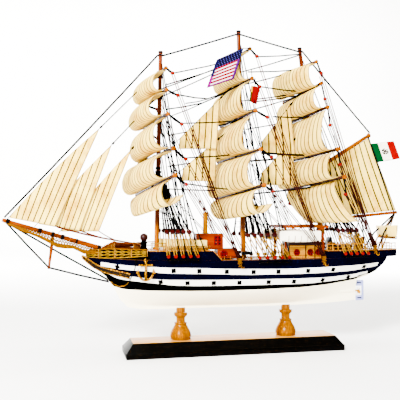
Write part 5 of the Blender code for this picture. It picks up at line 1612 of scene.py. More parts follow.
# Square sails: starched cotton on wire-stiff edges, rolled forward round a former so that they
# keep their curl. Brown thread seams run from head to foot, and each head is laced to its yard.
# Head: half width. Foot: half width, z of its middle and corners, degrees that its port end stands
# higher, corners' set aft. Roll: forward reach above and below, lift above, droop below, loss at
# the leeches, starboard's gain.
SAILS = {
    "fore": (
        (49.7, 54.0, 327.8, 328.2, 0.0, 0.0, 29.0, 29.0, 3.0, 12.0, 0.30, 0.10),
        (54.3, 62.0, 295.5, 296.2, 1.5, 0.0, 33.0, 34.0, 0.0, 17.0, 0.20, 0.05),
        (57.8, 76.0, 253.9, 254.4, 2.5, 8.0, 26.0, 36.0, -4.0, 13.0, 0.15, 0.06),
        (75.4, 82.0, 214.0, 214.4, 5.6, 0.0, 32.0, 33.0, 2.0, 15.0, 0.15, 0.00),
        (77.0, 76.0, 190.0, 195.0, 4.5, 19.0, 25.0, 28.0, 0.0, 40.0, 0.15, 0.00),
    ),
    "main": (
        (49.7, 54.0, 346.3, 346.3, 0.0, 0.0, 22.0, 24.0, 0.0, 10.0, 0.30, 0.00),
        (54.3, 64.0, 303.6, 303.6, 1.0, 0.0, 20.0, 28.0, -2.0, 10.0, 0.20, 0.00),
        (62.6, 76.0, 254.4, 254.4, 1.3, 0.0, 18.0, 34.0, -10.0, 10.0, 0.15, 0.00),
        (75.4, 84.0, 206.8, 207.4, 3.8, 0.0, 26.0, 34.0, 0.0, 14.0, 0.35, 0.00),
        (82.8, 82.0, 184.5, 188.5, 1.5, 17.0, 26.0, 26.0, 0.0, 38.0, 0.15, 0.00),
    ),
    "mizzen": (
        (49.7, 54.0, 341.2, 341.4, 0.0, 0.0, 26.0, 26.0, 10.0, 10.0, 0.35, 0.15),
        (54.3, 60.0, 309.3, 309.9, 2.4, 0.0, 14.0, 20.0, -2.0, 6.0, 0.20, 0.00),
        (62.6, 74.0, 256.0, 256.4, 1.7, 0.0, 8.0, 26.0, -10.0, 8.0, 0.20, 0.00),
        (75.4, 80.0, 219.2, 219.8, 3.0, 0.0, 16.0, 24.0, 0.0, 12.0, 0.20, 0.00),
        (72.0, 60.0, 166.5, 168.0, 1.0, 21.0, 14.0, 10.0, -6.0, 4.0, 0.10, 0.00),
    ),
}
SAIL_THICK = 0.8
# each foot hangs this much ahead of the lashings of the yard below it
FOOT_CLEAR = 0.8
# the mizzen course's foot is hauled to port, its middle aft and its port clew further aft
MIZZEN_COURSE_SHIFT = -14.0
MIZZEN_COURSE_AFT = 2.0
MIZZEN_COURSE_TWIST = 4.0
PANELS = 13


def square_sail_point(mast, number, across, down):
    """A point of a square sail: across runs -1 port to 1 starboard, down runs 0 head to 1 foot."""
    (head_half, foot_half, foot_middle, foot_corner, foot_rise, clew_aft,
     reach_high, reach_low, lift, droop, loss, gain) = SAILS[mast][number]
    head_z = YARD_Z[mast][number]
    tilt = YARD_TILT[mast][number]
    roll = 1.0 - loss * across ** 2 + gain * across
    below_yard = YARD_RADIUS[number] + SAIL_THICK / 2 + GAP + 0.05
    head_low = head_z - below_yard - across * head_half * sin(radians(tilt))
    foot_low = mix(foot_middle, foot_corner, across ** 2) - across * foot_half * sin(radians(foot_rise))
    front = YARD_FORWARD + YARD_RADIUS[number] + SAIL_THICK / 2 + GAP
    foot_front = front + FOOT_CLEAR - clew_aft * across ** 2
    shift = 0.0
    if (mast, number) == ("mizzen", 4):
        foot_front += MIZZEN_COURSE_TWIST * across - MIZZEN_COURSE_AFT
        shift = MIZZEN_COURSE_SHIFT * down ** 2 * (3 - 2 * down)
    shares = ((1 - down) ** 3, 3 * (1 - down) ** 2 * down, 3 * (1 - down) * down ** 2, down ** 3)
    heights = (head_low, head_low + lift * roll, foot_low - droop * roll, foot_low)
    fronts = (YARD_FORWARD + GAP, front + reach_high * roll, foot_front + reach_low * roll, foot_front)
    z = sum(share * value for share, value in zip(shares, heights))
    forward = sum(share * value for share, value in zip(shares, fronts))
    half = mix(head_half, foot_half, down)
    axis_z = mix(head_z, foot_middle, down ** 2 * (3 - 2 * down))
    x, y, _ = yard_point(mast, number, axis_z, across * half + shift, forward)
    return Vector((x, y, z))


def sailcloth(name, light, dark, seam):
    """Starched cotton: UVs run in panels across and millimetres down; seams lie at whole panels."""
    made, tree, shader = new_material(name)
    flat = node(tree, "ShaderNodeUVMap", uv_map="UVMap").outputs[0]
    across, down, _ = node(tree, "ShaderNodeSeparateXYZ", {0: flat}).outputs
    # distance to the nearest seam, in panels
    gap = off_middle(tree, calc(tree, 'ADD', across))
    line = remap(tree, gap, 0.08, 0.11, 1.0, 0.0)
    # stitches 1.6 mm long with short gaps
    beat = calc(tree, 'FRACT', calc(tree, 'DIVIDE', down, 1.6))
    stitches = calc(tree, 'MULTIPLY', line, remap(tree, beat, 0.02, 0.16, 0.5, 1.0))
    spot = place(tree)
    cloud = noise(tree, spot, 45.0, 4.0, Roughness=0.6)
    weave = noise(tree, stretched(tree, spot, (900.0, 900.0, 160.0)), 1.0)
    cotton = toned(tree, between(tree, 0.35, cloud, weave), 0.34, dark, 0.56, light)
    # the cloth is a little darker towards each seam
    darker_near_seams = layered(tree, remap(tree, gap, 0.04, 0.2, 0.35, 0.0), cotton, linear(dark))
    yarns = node(tree, "ShaderNodeCombineXYZ", {0: calc(tree, 'MULTIPLY', across, 16.0), 1: down}).outputs[0]
    threads = node(tree, "ShaderNodeTexWave", {"Vector": yarns, "Scale": 0.35, "Distortion": 0.4},
                   bands_direction='Y').outputs[1]
    height = calc(tree, 'ADD', calc(tree, 'ADD', line, threads), weave)
    feed(tree, shader, {
        "Base Color": layered(tree, stitches, darker_near_seams, linear(seam)),
        "Normal": bump(tree, height, 0.3, 0.00012),
        "Roughness": 0.82, "Specular IOR Level": 0.05, "Sheen Weight": 0.02})
    return made


starched_cotton = sailcloth("starched_cotton", "#eccf6c", "#c2923a", "#020100")
bolt_rope = thread("bolt_rope", "#ecc868", "#5c3c12", lay=1.2)
tarred_thread = thread("tarred_thread", "#0c0605", "#020101", lay=1.0)


def woven(name, rows, uv_of, finish, thick):
    """A sheet through rows of points: its piece, the line round its edge and its area."""
    solid = bmesh.new()
    layer = solid.loops.layers.uv.new("UVMap")
    across, down = len(rows[0]) - 1, len(rows) - 1
    verts = [[solid.verts.new(p) for p in row] for row in rows]
    area = 0.0
    for j in range(down):
        for i in range(across):
            corners = ((j, i), (j, i + 1), (j + 1, i + 1), (j + 1, i))
            face = solid.faces.new([verts[a][b] for a, b in corners])
            area += face.calc_area()
            for loop, (a, b) in zip(face.loops, corners):
                loop[layer].uv = uv_of(a, b)
    made = piece(name, solid, finish, smooth=180)
    shell = made.modifiers.new("cloth thickness", 'SOLIDIFY')
    shell.thickness = thick
    shell.offset = 0.0
    edge = rows[0] + [row[across] for row in rows[1:]] + list(reversed(rows[down][:across]))
    edge += [rows[j][0] for j in range(down - 1, -1, -1)]
    return made, edge, area


def cloth(name, node_name, point, across, down, panels):
    """A sheet of sailcloth from point(u, v), both from 0 to 1, with its seams, size and hem."""
    rows = [[Vector(point(i / across, j / down)) for i in range(across + 1)] for j in range(down + 1)]
    travel = [[0.0] for _ in range(across + 1)]
    for i in range(across + 1):
        for j in range(down):
            travel[i].append(travel[i][-1] + (rows[j + 1][i] - rows[j][i]).length)
    made, edge, area = woven(name, rows, lambda a, b: (panels * b / across, travel[b][a]), starched_cotton,
                             0.0005)
    hem = tubes(name + "_bolt_rope", [(edge, 0.36)], bolt_rope, sides=5)
    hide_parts(node_name)


for mast in MASTS:
    for number, name in enumerate(YARD_NAMES):
        cloth("cotton_%s_%s" % (mast, name), "sail_%s_%s" % (mast, name),
              lambda u, v, m=mast, n=number: square_sail_point(m, n, 2 * u - 1, v),
              39, 30, PANELS)
    # robands: thread loops that hold each head to its yard
    loops = []
    for number, radius in enumerate(YARD_RADIUS):
        half = SAILS[mast][number][0]
        for k in range(PANELS + 1):
            across = (2 * k / PANELS - 1) * half * 0.985
            if abs(across) > 3.5:
                centre = yard_point(mast, number, YARD_Z[mast][number], across)
                axis = yard_point(mast, number, YARD_Z[mast][number], across + 1) - centre
                loops.append((ring_points(centre + Vector((0, 0, -0.35)), axis, radius + 0.42, 10), 0.24))
    tubes("robands_" + mast, loops, tarred_thread, sides=5)

# Jibs and staysails: the same cotton, cut with the seams along the leech and sewn to a thread
# stay. The stay is knotted to the bowsprit or to the mast ahead of it and runs on up.
# name, corners (x, z) as top fore, bottom fore, bottom aft, top aft, roach of the luff, set of the
# clew to port, number of panels, and the mast ahead that the stay starts from
STAY_SAILS = (
    ("jib_outer", (-283.0, 174.9), (-282.0, 173.6), (-228.2, 163.0), (-174.9, 285.8), 2.6, 8.0, 8, ""),
    ("jib_middle", (-249.0, 167.3), (-248.0, 166.0), (-199.0, 157.2), (-159.4, 265.5), 1.5, 8.0, 8, ""),
    ("jib_inner", (-221.5, 157.8), (-220.5, 156.6), (-175.2, 156.6), (-134.5, 260.2), 1.5, 8.0, 7, ""),
    ("staysail_main_upper", (-71.6, 275.8), (-72.8, 262.6), (-24.0, 263.0), (-18.5, 329.2), 0.0, 6.0, 6,
     "fore"),
    ("staysail_main_lower", (-67.0, 236.8), (-69.5, 221.3), (-25.3, 220.6), (-22.6, 274.5), 0.0, 4.0, 5,
     "fore"),
    ("staysail_mizzen_upper", (39.4, 274.5), (38.6, 257.6), (83.1, 258.0), (78.5, 323.5), 0.0, 6.0, 4.5,
     "main"),
    ("staysail_mizzen_lower", (38.6, 232.5), (37.2, 216.4), (82.6, 217.0), (82.5, 276.0), 0.0, 4.0, 4.5,
     "main"),
)
STAY_SAIL_BELLY = 2.0


def stay_sail_point(corners, roach, lee, u, v):
    """A point of a sail on a stay: u runs aft to its leech, v down from its luff."""
    fore_top, fore_low, aft_low, aft_top = [Vector(c) for c in corners]
    along = (aft_top - fore_top).normalized()
    high = fore_top.lerp(aft_top, u) + Vector((-along.y, along.x)) * (roach * 4 * u * (1 - u))
    spot = fore_low.lerp(aft_low, u).lerp(high, 1 - v)
    return Vector((spot.x, -lee * u * v - STAY_SAIL_BELLY * 16 * u * (1 - u) * v * (1 - v), spot.y))


def four_corner_point(corners, belly, u, v):
    """A point of a sheet between four corners in the plane of the masts: v is 0 at its top."""
    fore_top, fore_low, aft_low, aft_top = [Vector(c) for c in corners]
    spot = fore_low.lerp(aft_low, u).lerp(fore_top.lerp(aft_top, u), 1 - v)
    return Vector((spot.x, belly * 16 * u * (1 - u) * v * (1 - v), spot.y))


def bowsprit_clear(point):
    """How far a point in the masts' plane stands off the bowsprit's surface."""
    along = (BOWSPRIT_TIP - BOWSPRIT_HEEL).normalized()
    reach = (point - BOWSPRIT_HEEL).dot(along)
    off = (point - BOWSPRIT_HEEL - along * reach).length
    return off - mix(3.0, 2.3, reach / (BOWSPRIT_TIP - BOWSPRIT_HEEL).length)


upper_stays = []
for name, top_fore, low_fore, low_aft, top_aft, roach, lee, panels, mast in STAY_SAILS:
    corners = (top_fore, low_fore, low_aft, top_aft)
    luff_low = Vector((top_fore[0], 0, top_fore[1]))
    luff_high = Vector((top_aft[0], 0, top_aft[1]))
    along = (luff_high - luff_low).normalized()
    start = luff_low.copy()
    for step in range(700):
        if mast:
            clear = start.x - mast_x(mast, start.z) - mast_radius(mast, start.z)
        else:
            clear = bowsprit_clear(start)
        if clear < 0.5:
            break
        start -= along * 0.1
    stay = tubes("stay_of_" + name, [([start, luff_low, luff_high, luff_high + along * 1.5], 0.5)],
                 tarred_thread)
    # the stay's upper part, from the sail's head to the mast that it leads to
    reached = {"": "fore", "fore": "main", "main": "mizzen"}[mast]
    end = luff_high.copy()
    while end.x < mast_x(reached, end.z) - mast_radius(reached, end.z) - 0.3:
        end += along * 0.1
    upper_stays.append(([luff_high + along * 0.8, end], 0.85))
    for turn in range(4):
        upper_stays.append((ring_points(luff_high + along * (2.0 + 0.8 * turn), along, 1.1, 12), 0.4))
    cloth("cotton_" + name, name, lambda u, v, c=corners, r=roach, b=lee: stay_sail_point(c, r, b, u, v),
          28, 24, panels)
tubes("upper_stays", upper_stays, black_thread)

# Spanker: the driver sail between gaff and boom, both tapered spars with a jaw against the mast.
# Its seams run from gaff to boom, and it is laced to both with brown thread.
GAFF = (Vector((115.9, 0, 238.8)), Vector((194.8, 0, 287.5)))
BOOM = (Vector((123.4, 0, 169.9)), Vector((234.1, 0, 180.5)))
SPANKER = ((120.5, 238.6), (127.0, 173.4), (232.4, 183.4), (193.0, 283.0))
for name, (start, end), near, far in (("gaff", GAFF, 2.6, 2.3), ("boom", BOOM, 2.2, 1.9)):
    span = (end - start).length
    stops = [(0.0, near), (span * 0.5, mix(near, far, 0.4)), (span - 2.6, far), (span - 2.2, far + 0.25),
             (span - 0.5, far + 0.25), (span, far - 0.3)]
    made = piece(name + "_spar", bar(start, end, stops, 16), yard_knob if name == "gaff" else bowsprit_wood)
    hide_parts(name)
# an amber knob on the gaff's peak, under which the ensign's line is hitched
knob = [(0.0, 2.6), (0.8, 3.2), (2.4, 3.2), (3.2, 2.4)]
peak = (GAFF[1] - GAFF[0]).normalized()
piece("gaff_knob", bar(GAFF[1] - peak * 3.4, GAFF[1] - peak * 0.1, knob, 14), yard_knob)
cloth("cotton_spanker", "sail_spanker", lambda u, v: four_corner_point(SPANKER, 5.0, u, v),
      36, 30, 10)
laces = []
for (start, end), radius, edge in ((GAFF, 2.3, (SPANKER[0], SPANKER[3])),
                                   (BOOM, 2.0, (SPANKER[1], SPANKER[2]))):
    axis = (end - start).normalized()
    for k in range(1, 15):
        hole = Vector(edge[0]).lerp(Vector(edge[1]), k / 15)
        hole = Vector((hole.x, 0, hole.y))
        centre = start + axis * (hole - start).dot(axis)
        toward = (hole - centre).normalized()
        middle = centre.lerp(hole, 0.5)
        span = (hole - centre).length / 2 + radius * 0.55
        loop = []
        for step in range(13):
            angle = 2 * pi * step / 12
            out = toward * (cos(angle) * span) + Vector((0, 1, 0)) * (sin(angle) * (radius * 0.8))
            loop.append(middle - toward * (radius * 0.45) + out)
        laces.append((loop, 0.25))
tubes("spanker_lacing", laces, tarred_thread, sides=5)

# Shrouds: black waxed cord from a collar on each mast down to red turned deadeyes. Cream cotton
# lanyards run double between the upper and lower deadeyes, which stand on black shelves that are
# glued to the side. Ratlines of thin thread are knotted across above the deadeyes.
# mast, fore and aft x of the lower deadeyes, of the upper ones, z of both rows, of the shelf and of
# the collar
SHROUDS = (
    ("fore", -92.0, -55.0, -94.0, -66.0, 125.4, 156.0, 121.2, 232.0),
    ("main", 25.0, 64.5, 9.5, 45.0, 122.6, 151.4, 116.6, 224.0),
    ("mizzen", 141.0, 173.0, 132.0, 158.0, 126.2, 156.8, 122.6, 234.0),
)
SHROUD_COUNT = 5
CHANNEL_Y = 38.0
DEADEYE_Y = 34.0
red_enamel = paint("red_enamel", "#740a00", 0.25, grit=0.8, coat=0.06, shade=0.45, shine=0.1)
dark_red_enamel = paint("dark_red_enamel", "#380503", 0.25, grit=0.8, coat=0.15, shade=0.45)
cotton_lanyard = thread("cotton_lanyard", "#d09c34", "#4a2c0c", lay=1.3)


def deadeye(centre, axis, radius, thick):
    """A turned bead with a groove round its rim, its flat faces along the given axis."""
    outline = ((0.0, -thick), (radius * 0.7, -thick), (radius * 0.95, -thick * 0.72), (radius, -thick * 0.35),
               (radius * 0.86, -thick * 0.12), (radius * 0.86, thick * 0.12), (radius, thick * 0.35),
               (radius * 0.95, thick * 0.72), (radius * 0.7, thick), (0.0, thick))
    solid = turned(outline, 16)
    bmesh.ops.transform(solid, verts=solid.verts,
                        matrix=Matrix.Translation(Vector(centre)) @ facing(axis).to_4x4())
    return solid


for mast, fore_x, aft_x, high_fore, high_aft, low_z, high_z, shelf_z, ring_z in SHROUDS:
    centre_x = mast_x(mast, ring_z)
    inner = mast_radius(mast, ring_z) + 0.55
    shelves, lines, lanyards, ratlines, high_eyes, low_eyes = [], [], [], [], [], []
    for turn in range(4):
        collar = (centre_x, 0, ring_z + (turn - 1.5) * 0.62)
        lines.append((ring_points(collar, (0, 0, 1), inner + 0.3, 20), 0.42))
    for side in (-1, 1):
        shelf_in = max(hull_side(x, shelf_z) for x in (fore_x, aft_x, (fore_x + aft_x) / 2)) + GAP
        low = (fore_x - 1.5, min(side * shelf_in, side * CHANNEL_Y), shelf_z - 1.0)
        high = (aft_x + 1.5, max(side * shelf_in, side * CHANNEL_Y), shelf_z + 0.6)
        shelves.append(block(low, high, 0.35))
        feet, heads = [], []
        for number in range(SHROUD_COUNT):
            t = number / (SHROUD_COUNT - 1)
            foot = Vector((mix(fore_x, aft_x, t), side * (CHANNEL_Y - 1.4), shelf_z))
            head = Vector((centre_x + mix(0.4, inner + 0.2, t), side * mix(inner + 0.5, 1.2, t),
                           ring_z - 1.3 * number))
            low_eye = Vector((foot.x, foot.y, low_z))
            high_eye = Vector((mix(high_fore, high_aft, t), side * DEADEYE_Y, high_z))
            feet.append(high_eye)
            heads.append(head)
            along = (head - high_eye).normalized()
            pull = (high_eye - low_eye).normalized()
            across = Vector((1, 0, 0)) - along * along.x
            across.normalize()
            out = along.cross(across)
            low_eyes.append(deadeye(low_eye, out, 2.3, 1.6))
            high_eyes.append(deadeye(high_eye, out, 2.9, 1.9))
            # the strop round the upper deadeye, then the shroud doubled on itself
            lines.append((ring_points(high_eye, out, 2.9, 14), 0.5))
            lines.append((ring_points(low_eye, out, 2.3, 14), 0.45))
            lines.append(([foot - Vector((0, 0, 0.2)), low_eye - Vector((0, 0, 2.2))], 0.6))
            lines.append(([high_eye + along * 2.6, head], 0.92))
            lines.append(([high_eye + along * 2.6 + across * 0.9, high_eye + along * 22.0], 0.8))
            for part in (-1.5, 1.5):
                lanyards.append(([low_eye + across * part + pull * 1.0 + out * 0.3,
                                  high_eye + across * part - pull * 1.0 + out * 0.3], 0.7))
            for seize in (3.0, 14.5, 24.0):
                for turn in range(3):
                    wrap = high_eye + along * (seize + turn * 0.55) + across * 0.3
                    lines.append((ring_points(wrap, along, 1.15, 8), 0.22))
        # ratlines: every 7.5 mm, a little slack, with a knot at each shroud
        z = high_z + 9.0
        while z < ring_z - 16.0:
            knots = []
            for foot, head in zip(feet, heads):
                t = (z - foot.z) / (head.z - foot.z)
                knots.append(foot.lerp(head, t))
            path = []
            for a, b in zip(knots, knots[1:]):
                path.extend((a, a.lerp(b, 0.5) - Vector((0, 0, 0.25))))
            path.append(knots[-1])
            ratlines.append((path, 0.34))
            for knot in knots:
                ratlines.append((ring_points(knot, (0.1, 0, 1), 0.62, 7), 0.2))
            z += 7.5
    channels = piece("channels_" + mast, join(shelves), black_lacquer, smooth=30)
    ropes = tubes("shroud_lines_" + mast, lines, black_thread)
    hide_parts("shrouds_" + mast)
    tubes("lanyards_" + mast, lanyards, cotton_lanyard, sides=6)
    tubes("ratlines_" + mast, ratlines, tarred_thread, sides=4)
    piece("deadeyes_upper_" + mast, join(high_eyes), dark_red_enamel)
    piece("deadeyes_lower_" + mast, join(low_eyes), red_enamel)

# The long stay: one black cord over the three mastheads, from the bowsprit's end to the gaff's
# peak, served round each masthead with a collar of thread.
stops = [Vector((BOWSPRIT_TIP.x + 2.5, 0, BOWSPRIT_TIP.z + 2.9))]
long_stay = []
for mast, z in STAY_RING_Z.items():
    x = mast_x(mast, z)
    inner = mast_radius(mast, z) + 0.55
    for turn in range(3):
        long_stay.append((ring_points((x, 0, z + (turn - 1) * 0.6), (0, 0, 1), inner + 0.35, 18), 0.4))
    stops.append(Vector((x - inner - 0.5, 0, z)))
    stops.append(Vector((x + inner + 0.5, 0, z)))
stops.append(Vector((GAFF[1].x - 0.6, 0, GAFF[1].z + 2.6)))
for start, end in zip(stops[::2], stops[1::2]):
    sag = Vector((0, 0, -0.004 * (end - start).length))
    long_stay.append(([start, start.lerp(end, 0.25) + sag * 0.75, start.lerp(end, 0.5) + sag,
                       start.lerp(end, 0.75) + sag * 0.75, end], 1.2))
made = tubes("long_stay", long_stay, black_thread, sides=8)
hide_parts("masthead_stay")

# Braces: from each yard's end a doubled black thread runs to a red wooden bead, and from the bead
# two red-brown threads run down to a knot at the rail. Others run level to the next mast.
BRACE_BEADS = {
    "fore": ((-89.8, -51.0, 349.5), (-83.7, -55.3, 321.7), (-80.6, -63.0, 285.9), (-77.9, -75.0, 243.0),
             (-78.6, -81.9, 212.6)),
    "main": ((17.1, -51.0, 375.5), (19.0, -55.3, 336.4), (26.8, -63.0, 297.4), (27.8, -75.0, 247.4),
             (27.3, -81.9, 205.5)),
    "mizzen": ((102.9, -50.5, 357.9), (106.1, -54.7, 324.4), (109.4, -62.5, 290.1), (117.2, -74.5, 239.6),
               (121.6, -80.6, 202.4)),
}
BRACE_KNOTS = {"fore": (-0.8, -35.4, 120.5), "main": (112.1, -34.6, 121.5), "mizzen": (187.7, -27.0, 134.5)}
brace_brown = thread("brace_brown", "#501810", "#120403", lay=1.1, gloss=0.6)
pendants, falls, balls = [], [], []
for mast, spots in BRACE_BEADS.items():
    for number, spot in enumerate(spots):
        height = YARD_Z[mast][number]
        port_tip = yard_point(mast, number, height, -YARD_HALF[number] * 0.985)
        offset = Vector(spot) - port_tip
        for side in (-1, 1):
            tip = yard_point(mast, number, height, side * YARD_HALF[number] * 0.985)
            bead_at = tip + Vector((offset.x, -side * offset.y, offset.z))
            knot = Vector(BRACE_KNOTS[mast])
            knot.y *= -side
            for lift in (-0.55, 0.55):
                hang = Vector((0, 0, lift))
                bend = tip.lerp(bead_at, 0.5) + hang * 1.6 - Vector((0, 0, 0.5))
                pendants.append(([tip + hang * 0.6, bend, bead_at + hang], 0.9))
                aim = knot + Vector((lift * 2.4 + 0.8 * (number - 2), 0, 0.6 * number))
                falls.append((slack(bead_at + Vector((lift * 2.6, 0, 0)), aim, 0.8), 0.56))
            solid = bmesh.new()
            bmesh.ops.create_uvsphere(solid, u_segments=18, v_segments=12, radius=2.6)
            bmesh.ops.scale(solid, verts=solid.verts, vec=(1, 1, 0.9))
            balls.append(moved(solid, bead_at))
tubes("brace_pendants", pendants, black_thread)
tubes("brace_falls", falls, brace_brown)
piece("brace_beads", join(balls), red_enamel)

# lines from the braces' beads and the yards' ends to the next mast: start, end and thickness
LEVEL_LINES = (
    ((-87.3, -51.0, 349.7), (6.6, -4.0, 383.0), 0.4),
    ((-98.8, -54.0, 333.9), (5.6, -4.0, 379.0), 0.4),
    ((-81.2, -55.0, 322.2), (-38.0, -16.0, 326.0), 0.45),
    ((-38.0, -16.0, 326.0), (8.2, -4.0, 347.6), 0.45),
    ((-73.3, -50.0, 313.2), (-38.1, -16.0, 325.6), 0.35),
    ((-77.5, -62.0, 287.0), (7.0, -4.0, 301.0), 0.4),
    ((-75.7, -72.0, 244.6), (8.6, -4.0, 257.0), 0.4),
    ((-75.6, -78.0, 213.3), (8.0, -4.0, 209.0), 0.4),
    ((34.8, -62.0, 298.4), (103.0, -4.0, 308.6), 0.4),
    ((16.0, -75.0, 252.1), (104.0, -4.0, 257.0), 0.6),
    ((30.2, -76.0, 205.4), (106.0, -4.0, 214.0), 0.5),
    ((21.0, -54.0, 336.7), (96.0, -4.0, 342.4), 0.4),
    ((13.1, -56.0, 317.3), (95.0, -4.0, 338.6), 0.4),
    ((19.6, -48.0, 375.7), (92.6, -4.0, 393.4), 0.4),
    ((4.7, -54.0, 354.4), (91.0, -4.0, 372.0), 0.4),
)
# how much greater each line's radius is made than its thickness above
LEVEL_STOUT = 2.2
level = []
for start, end, thick in LEVEL_LINES:
    for side in (-1, 1):
        a, b = Vector(start), Vector(end)
        a.y *= -side
        b.y *= -side
        level.append((slack(a, b, 0.8), thick * LEVEL_STOUT))
# a short line at each yard's end, but the royal's, that stops a third of the way to the yard above
for mast in MASTS:
    for number in range(5):
        height = YARD_Z[mast][number]
        for side in (-1, 1):
            tip = yard_point(mast, number, height, side * YARD_HALF[number] * 0.97)
            if number:
                above = yard_point(mast, number - 1, YARD_Z[mast][number - 1],
                                   side * YARD_HALF[number - 1] * 0.9)
                reach = Vector((above.x, above.y, above.z - 2.0))
                level.append(([tip + Vector((0, 0, 1.5)), tip.lerp(reach, 0.35) + Vector((0.6, 0, 0))], 0.5))
tubes("level_lines", level, black_thread)

# Where the braces meet the rail their ends are hitched into one thick knot of brown and gold
# cord, and a bent brass hook hangs below each on the hull's side.
knots, hooks = [], []
for mast, spot in BRACE_KNOTS.items():
    for side in (-1, 1):
        centre = Vector((spot[0], -side * spot[1], spot[2]))
        for turn in range(7):
            lean = Vector((0.35 * sin(turn * 1.7), 0.2, 1.0))
            turn_at = centre + Vector((0, 0, 1.2 - turn * 0.95))
            knots.append((ring_points(turn_at, lean, 2.3 + 0.5 * sin(turn * 1.3), 14), 0.62))
        for k in range(3):
            start = centre + Vector((-1.6 + 1.6 * k, -0.8 * -side, -4.6))
            knots.append(([start, start + Vector((0.8 - 0.5 * k, side * 0.8, -2.4)),
                           start + Vector((-0.6 + 0.7 * k, side * 1.0, -4.4))], 0.5))
        hook = [centre + Vector((x, side * y, z)) for x, y, z in
                ((0, 1.4, -4.0), (0.4, 2.0, -8.0), (1.6, 2.2, -10.6), (3.4, 2.2, -11.2), (4.8, 2.2, -9.8),
                 (4.6, 2.2, -8.0))]
        hooks.append((hook, 0.6))
tubes("brace_knots", knots, gold_net, sides=6)
tubes("rail_hooks", hooks, bright_gilt, sides=8)

# Backstays: straight lines of the shrouds' black thread, from the topmasts down to the rails
# behind the sails. The boom's sheets, topping lines and twisted tackles follow.
stays = []
# mast, height on it, and x, y and z of the foot
BACKSTAYS = (
    ("fore", 372.0, -62.0, 33.5, 131.0), ("fore", 340.0, -55.0, 34.5, 131.0),
    ("fore", 306.0, -70.0, 33.6, 131.0),
    ("fore", 290.0, -46.0, 35.6, 131.0), ("fore", 262.0, -78.0, 33.0, 131.0),
    ("main", 402.0, 60.0, 36.2, 121.0), ("main", 366.0, 66.0, 36.0, 121.0),
    ("main", 325.0, 52.0, 36.6, 121.0),
    ("main", 300.0, 44.0, 36.8, 121.0), ("main", 268.0, 36.0, 37.0, 121.0),
    ("mizzen", 385.0, 186.0, 26.8, 131.0), ("mizzen", 352.0, 183.0, 27.0, 131.0),
    ("mizzen", 322.0, 180.0, 27.2, 131.0),
    ("mizzen", 296.0, 168.0, 28.0, 131.0), ("mizzen", 264.0, 160.0, 28.4, 131.0),
)
for mast, height, foot_x, foot_y, foot_z in BACKSTAYS:
    for side in (-1, 1):
        top = Vector((mast_x(mast, height) + 1.5, side * 2.6, height))
        foot = Vector((foot_x, side * foot_y, foot_z))
        stays.append(([top, top.lerp(foot, 0.5), foot], 0.72))
# on each side of the boom a heavy black line, a thinner one, and a twisted one of brown and gold
boom_end = Vector((231.0, 0, 179.0))
for side in (-1, 1):
    stays.append(([boom_end, Vector((207.0, side * 14.0, 152.0)), Vector((196.0, side * 20.0, 133.0))], 1.1))
    stays.append(([Vector((180.0, side * 1.6, 176.4)), Vector((178.0, side * 12.0, 152.0)),
                   Vector((176.0, side * 21.0, 132.0))], 0.8))
tubes("backstays", stays, black_thread)
twisted = []
for side in (-1, 1):
    for phase in (0.0, pi):
        path = []
        for k in range(41):
            centre = boom_end.lerp(Vector((204.0, side * 16.0, 132.5)), k / 40)
            path.append(centre + Vector((0.7 * cos(k * 1.2 + phase), 0.7 * sin(k * 1.2 + phase), 0)))
        twisted.append((path, 0.6))
tubes("boom_tackle", twisted, gold_net, sides=6)

# Flags: printed cotton, hemmed with thread and tied by its hoist to a line. They are stiffened
# with starch so that they hold a shallow wave.


def flag_material(name, pattern):
    """Printed cotton whose colour comes from a pattern over the sheet's own UVs, 0 to 1."""
    made, tree, shader = new_material(name)
    flat = node(tree, "ShaderNodeUVMap", uv_map="UVMap").outputs[0]
    u, v, _ = node(tree, "ShaderNodeSeparateXYZ", {0: flat}).outputs
    spot = place(tree)
    faded = between(tree, noise(tree, spot, 120.0), 0.72, 1.12)
    worn = node(tree, "ShaderNodeVectorMath", {0: pattern(tree, u, v), "Scale": faded}, operation='SCALE')
    feed(tree, shader, {
        "Base Color": worn.outputs[0], "Normal": bump(tree, noise(tree, spot, 900.0), 0.3, 0.0001),
        "Roughness": 0.7, "Specular IOR Level": 0.05})
    return made


def step_mask(tree, value, edge, above=True):
    """1 where a value is above (or below) an edge."""
    return calc(tree, 'GREATER_THAN' if above else 'LESS_THAN', value, edge)


def striped_ensign(tree, u, v):
    """A blue field with rows of pale dots over red and white stripes, inside a violet border."""
    # five pairs of stripes on the fly side of the field
    beat = calc(tree, 'FRACT', calc(tree, 'MULTIPLY', calc(tree, 'SUBTRACT', u, 0.34), 8.3))
    colour = layered(tree, step_mask(tree, beat, 0.6), linear("#6c0010"), linear("#d8bcc4"))
    across = calc(tree, 'DIVIDE', u, 0.072)
    along = calc(tree, 'DIVIDE', v, 0.098)
    # every other row of dots is set half a step aside
    shifted = calc(tree, 'ADD', along, calc(tree, 'MULTIPLY', calc(tree, 'FLOOR', across), 0.5))
    squares = [calc(tree, 'POWER', calc(tree, 'SUBTRACT', calc(tree, 'FRACT', value)), 2.0)
               for value in (across, shifted)]
    dot = step_mask(tree, calc(tree, 'ADD', *squares), 0.035, False)
    blue = layered(tree, dot, linear("#04021a"), linear("#484888"))
    colour = layered(tree, step_mask(tree, u, 0.34, False), colour, blue)
    border = layered(tree, step_mask(tree, u, 0.62), linear("#0a0430"), linear("#6a0058"))
    colour = layered(tree, step_mask(tree, v, 0.1, False), colour, border)
    right = calc(tree, 'MULTIPLY', step_mask(tree, v, 0.91), step_mask(tree, u, 0.35))
    colour = layered(tree, right, colour, linear("#44065c"))
    return layered(tree, step_mask(tree, u, 0.95), colour, linear("#5c0a54"))


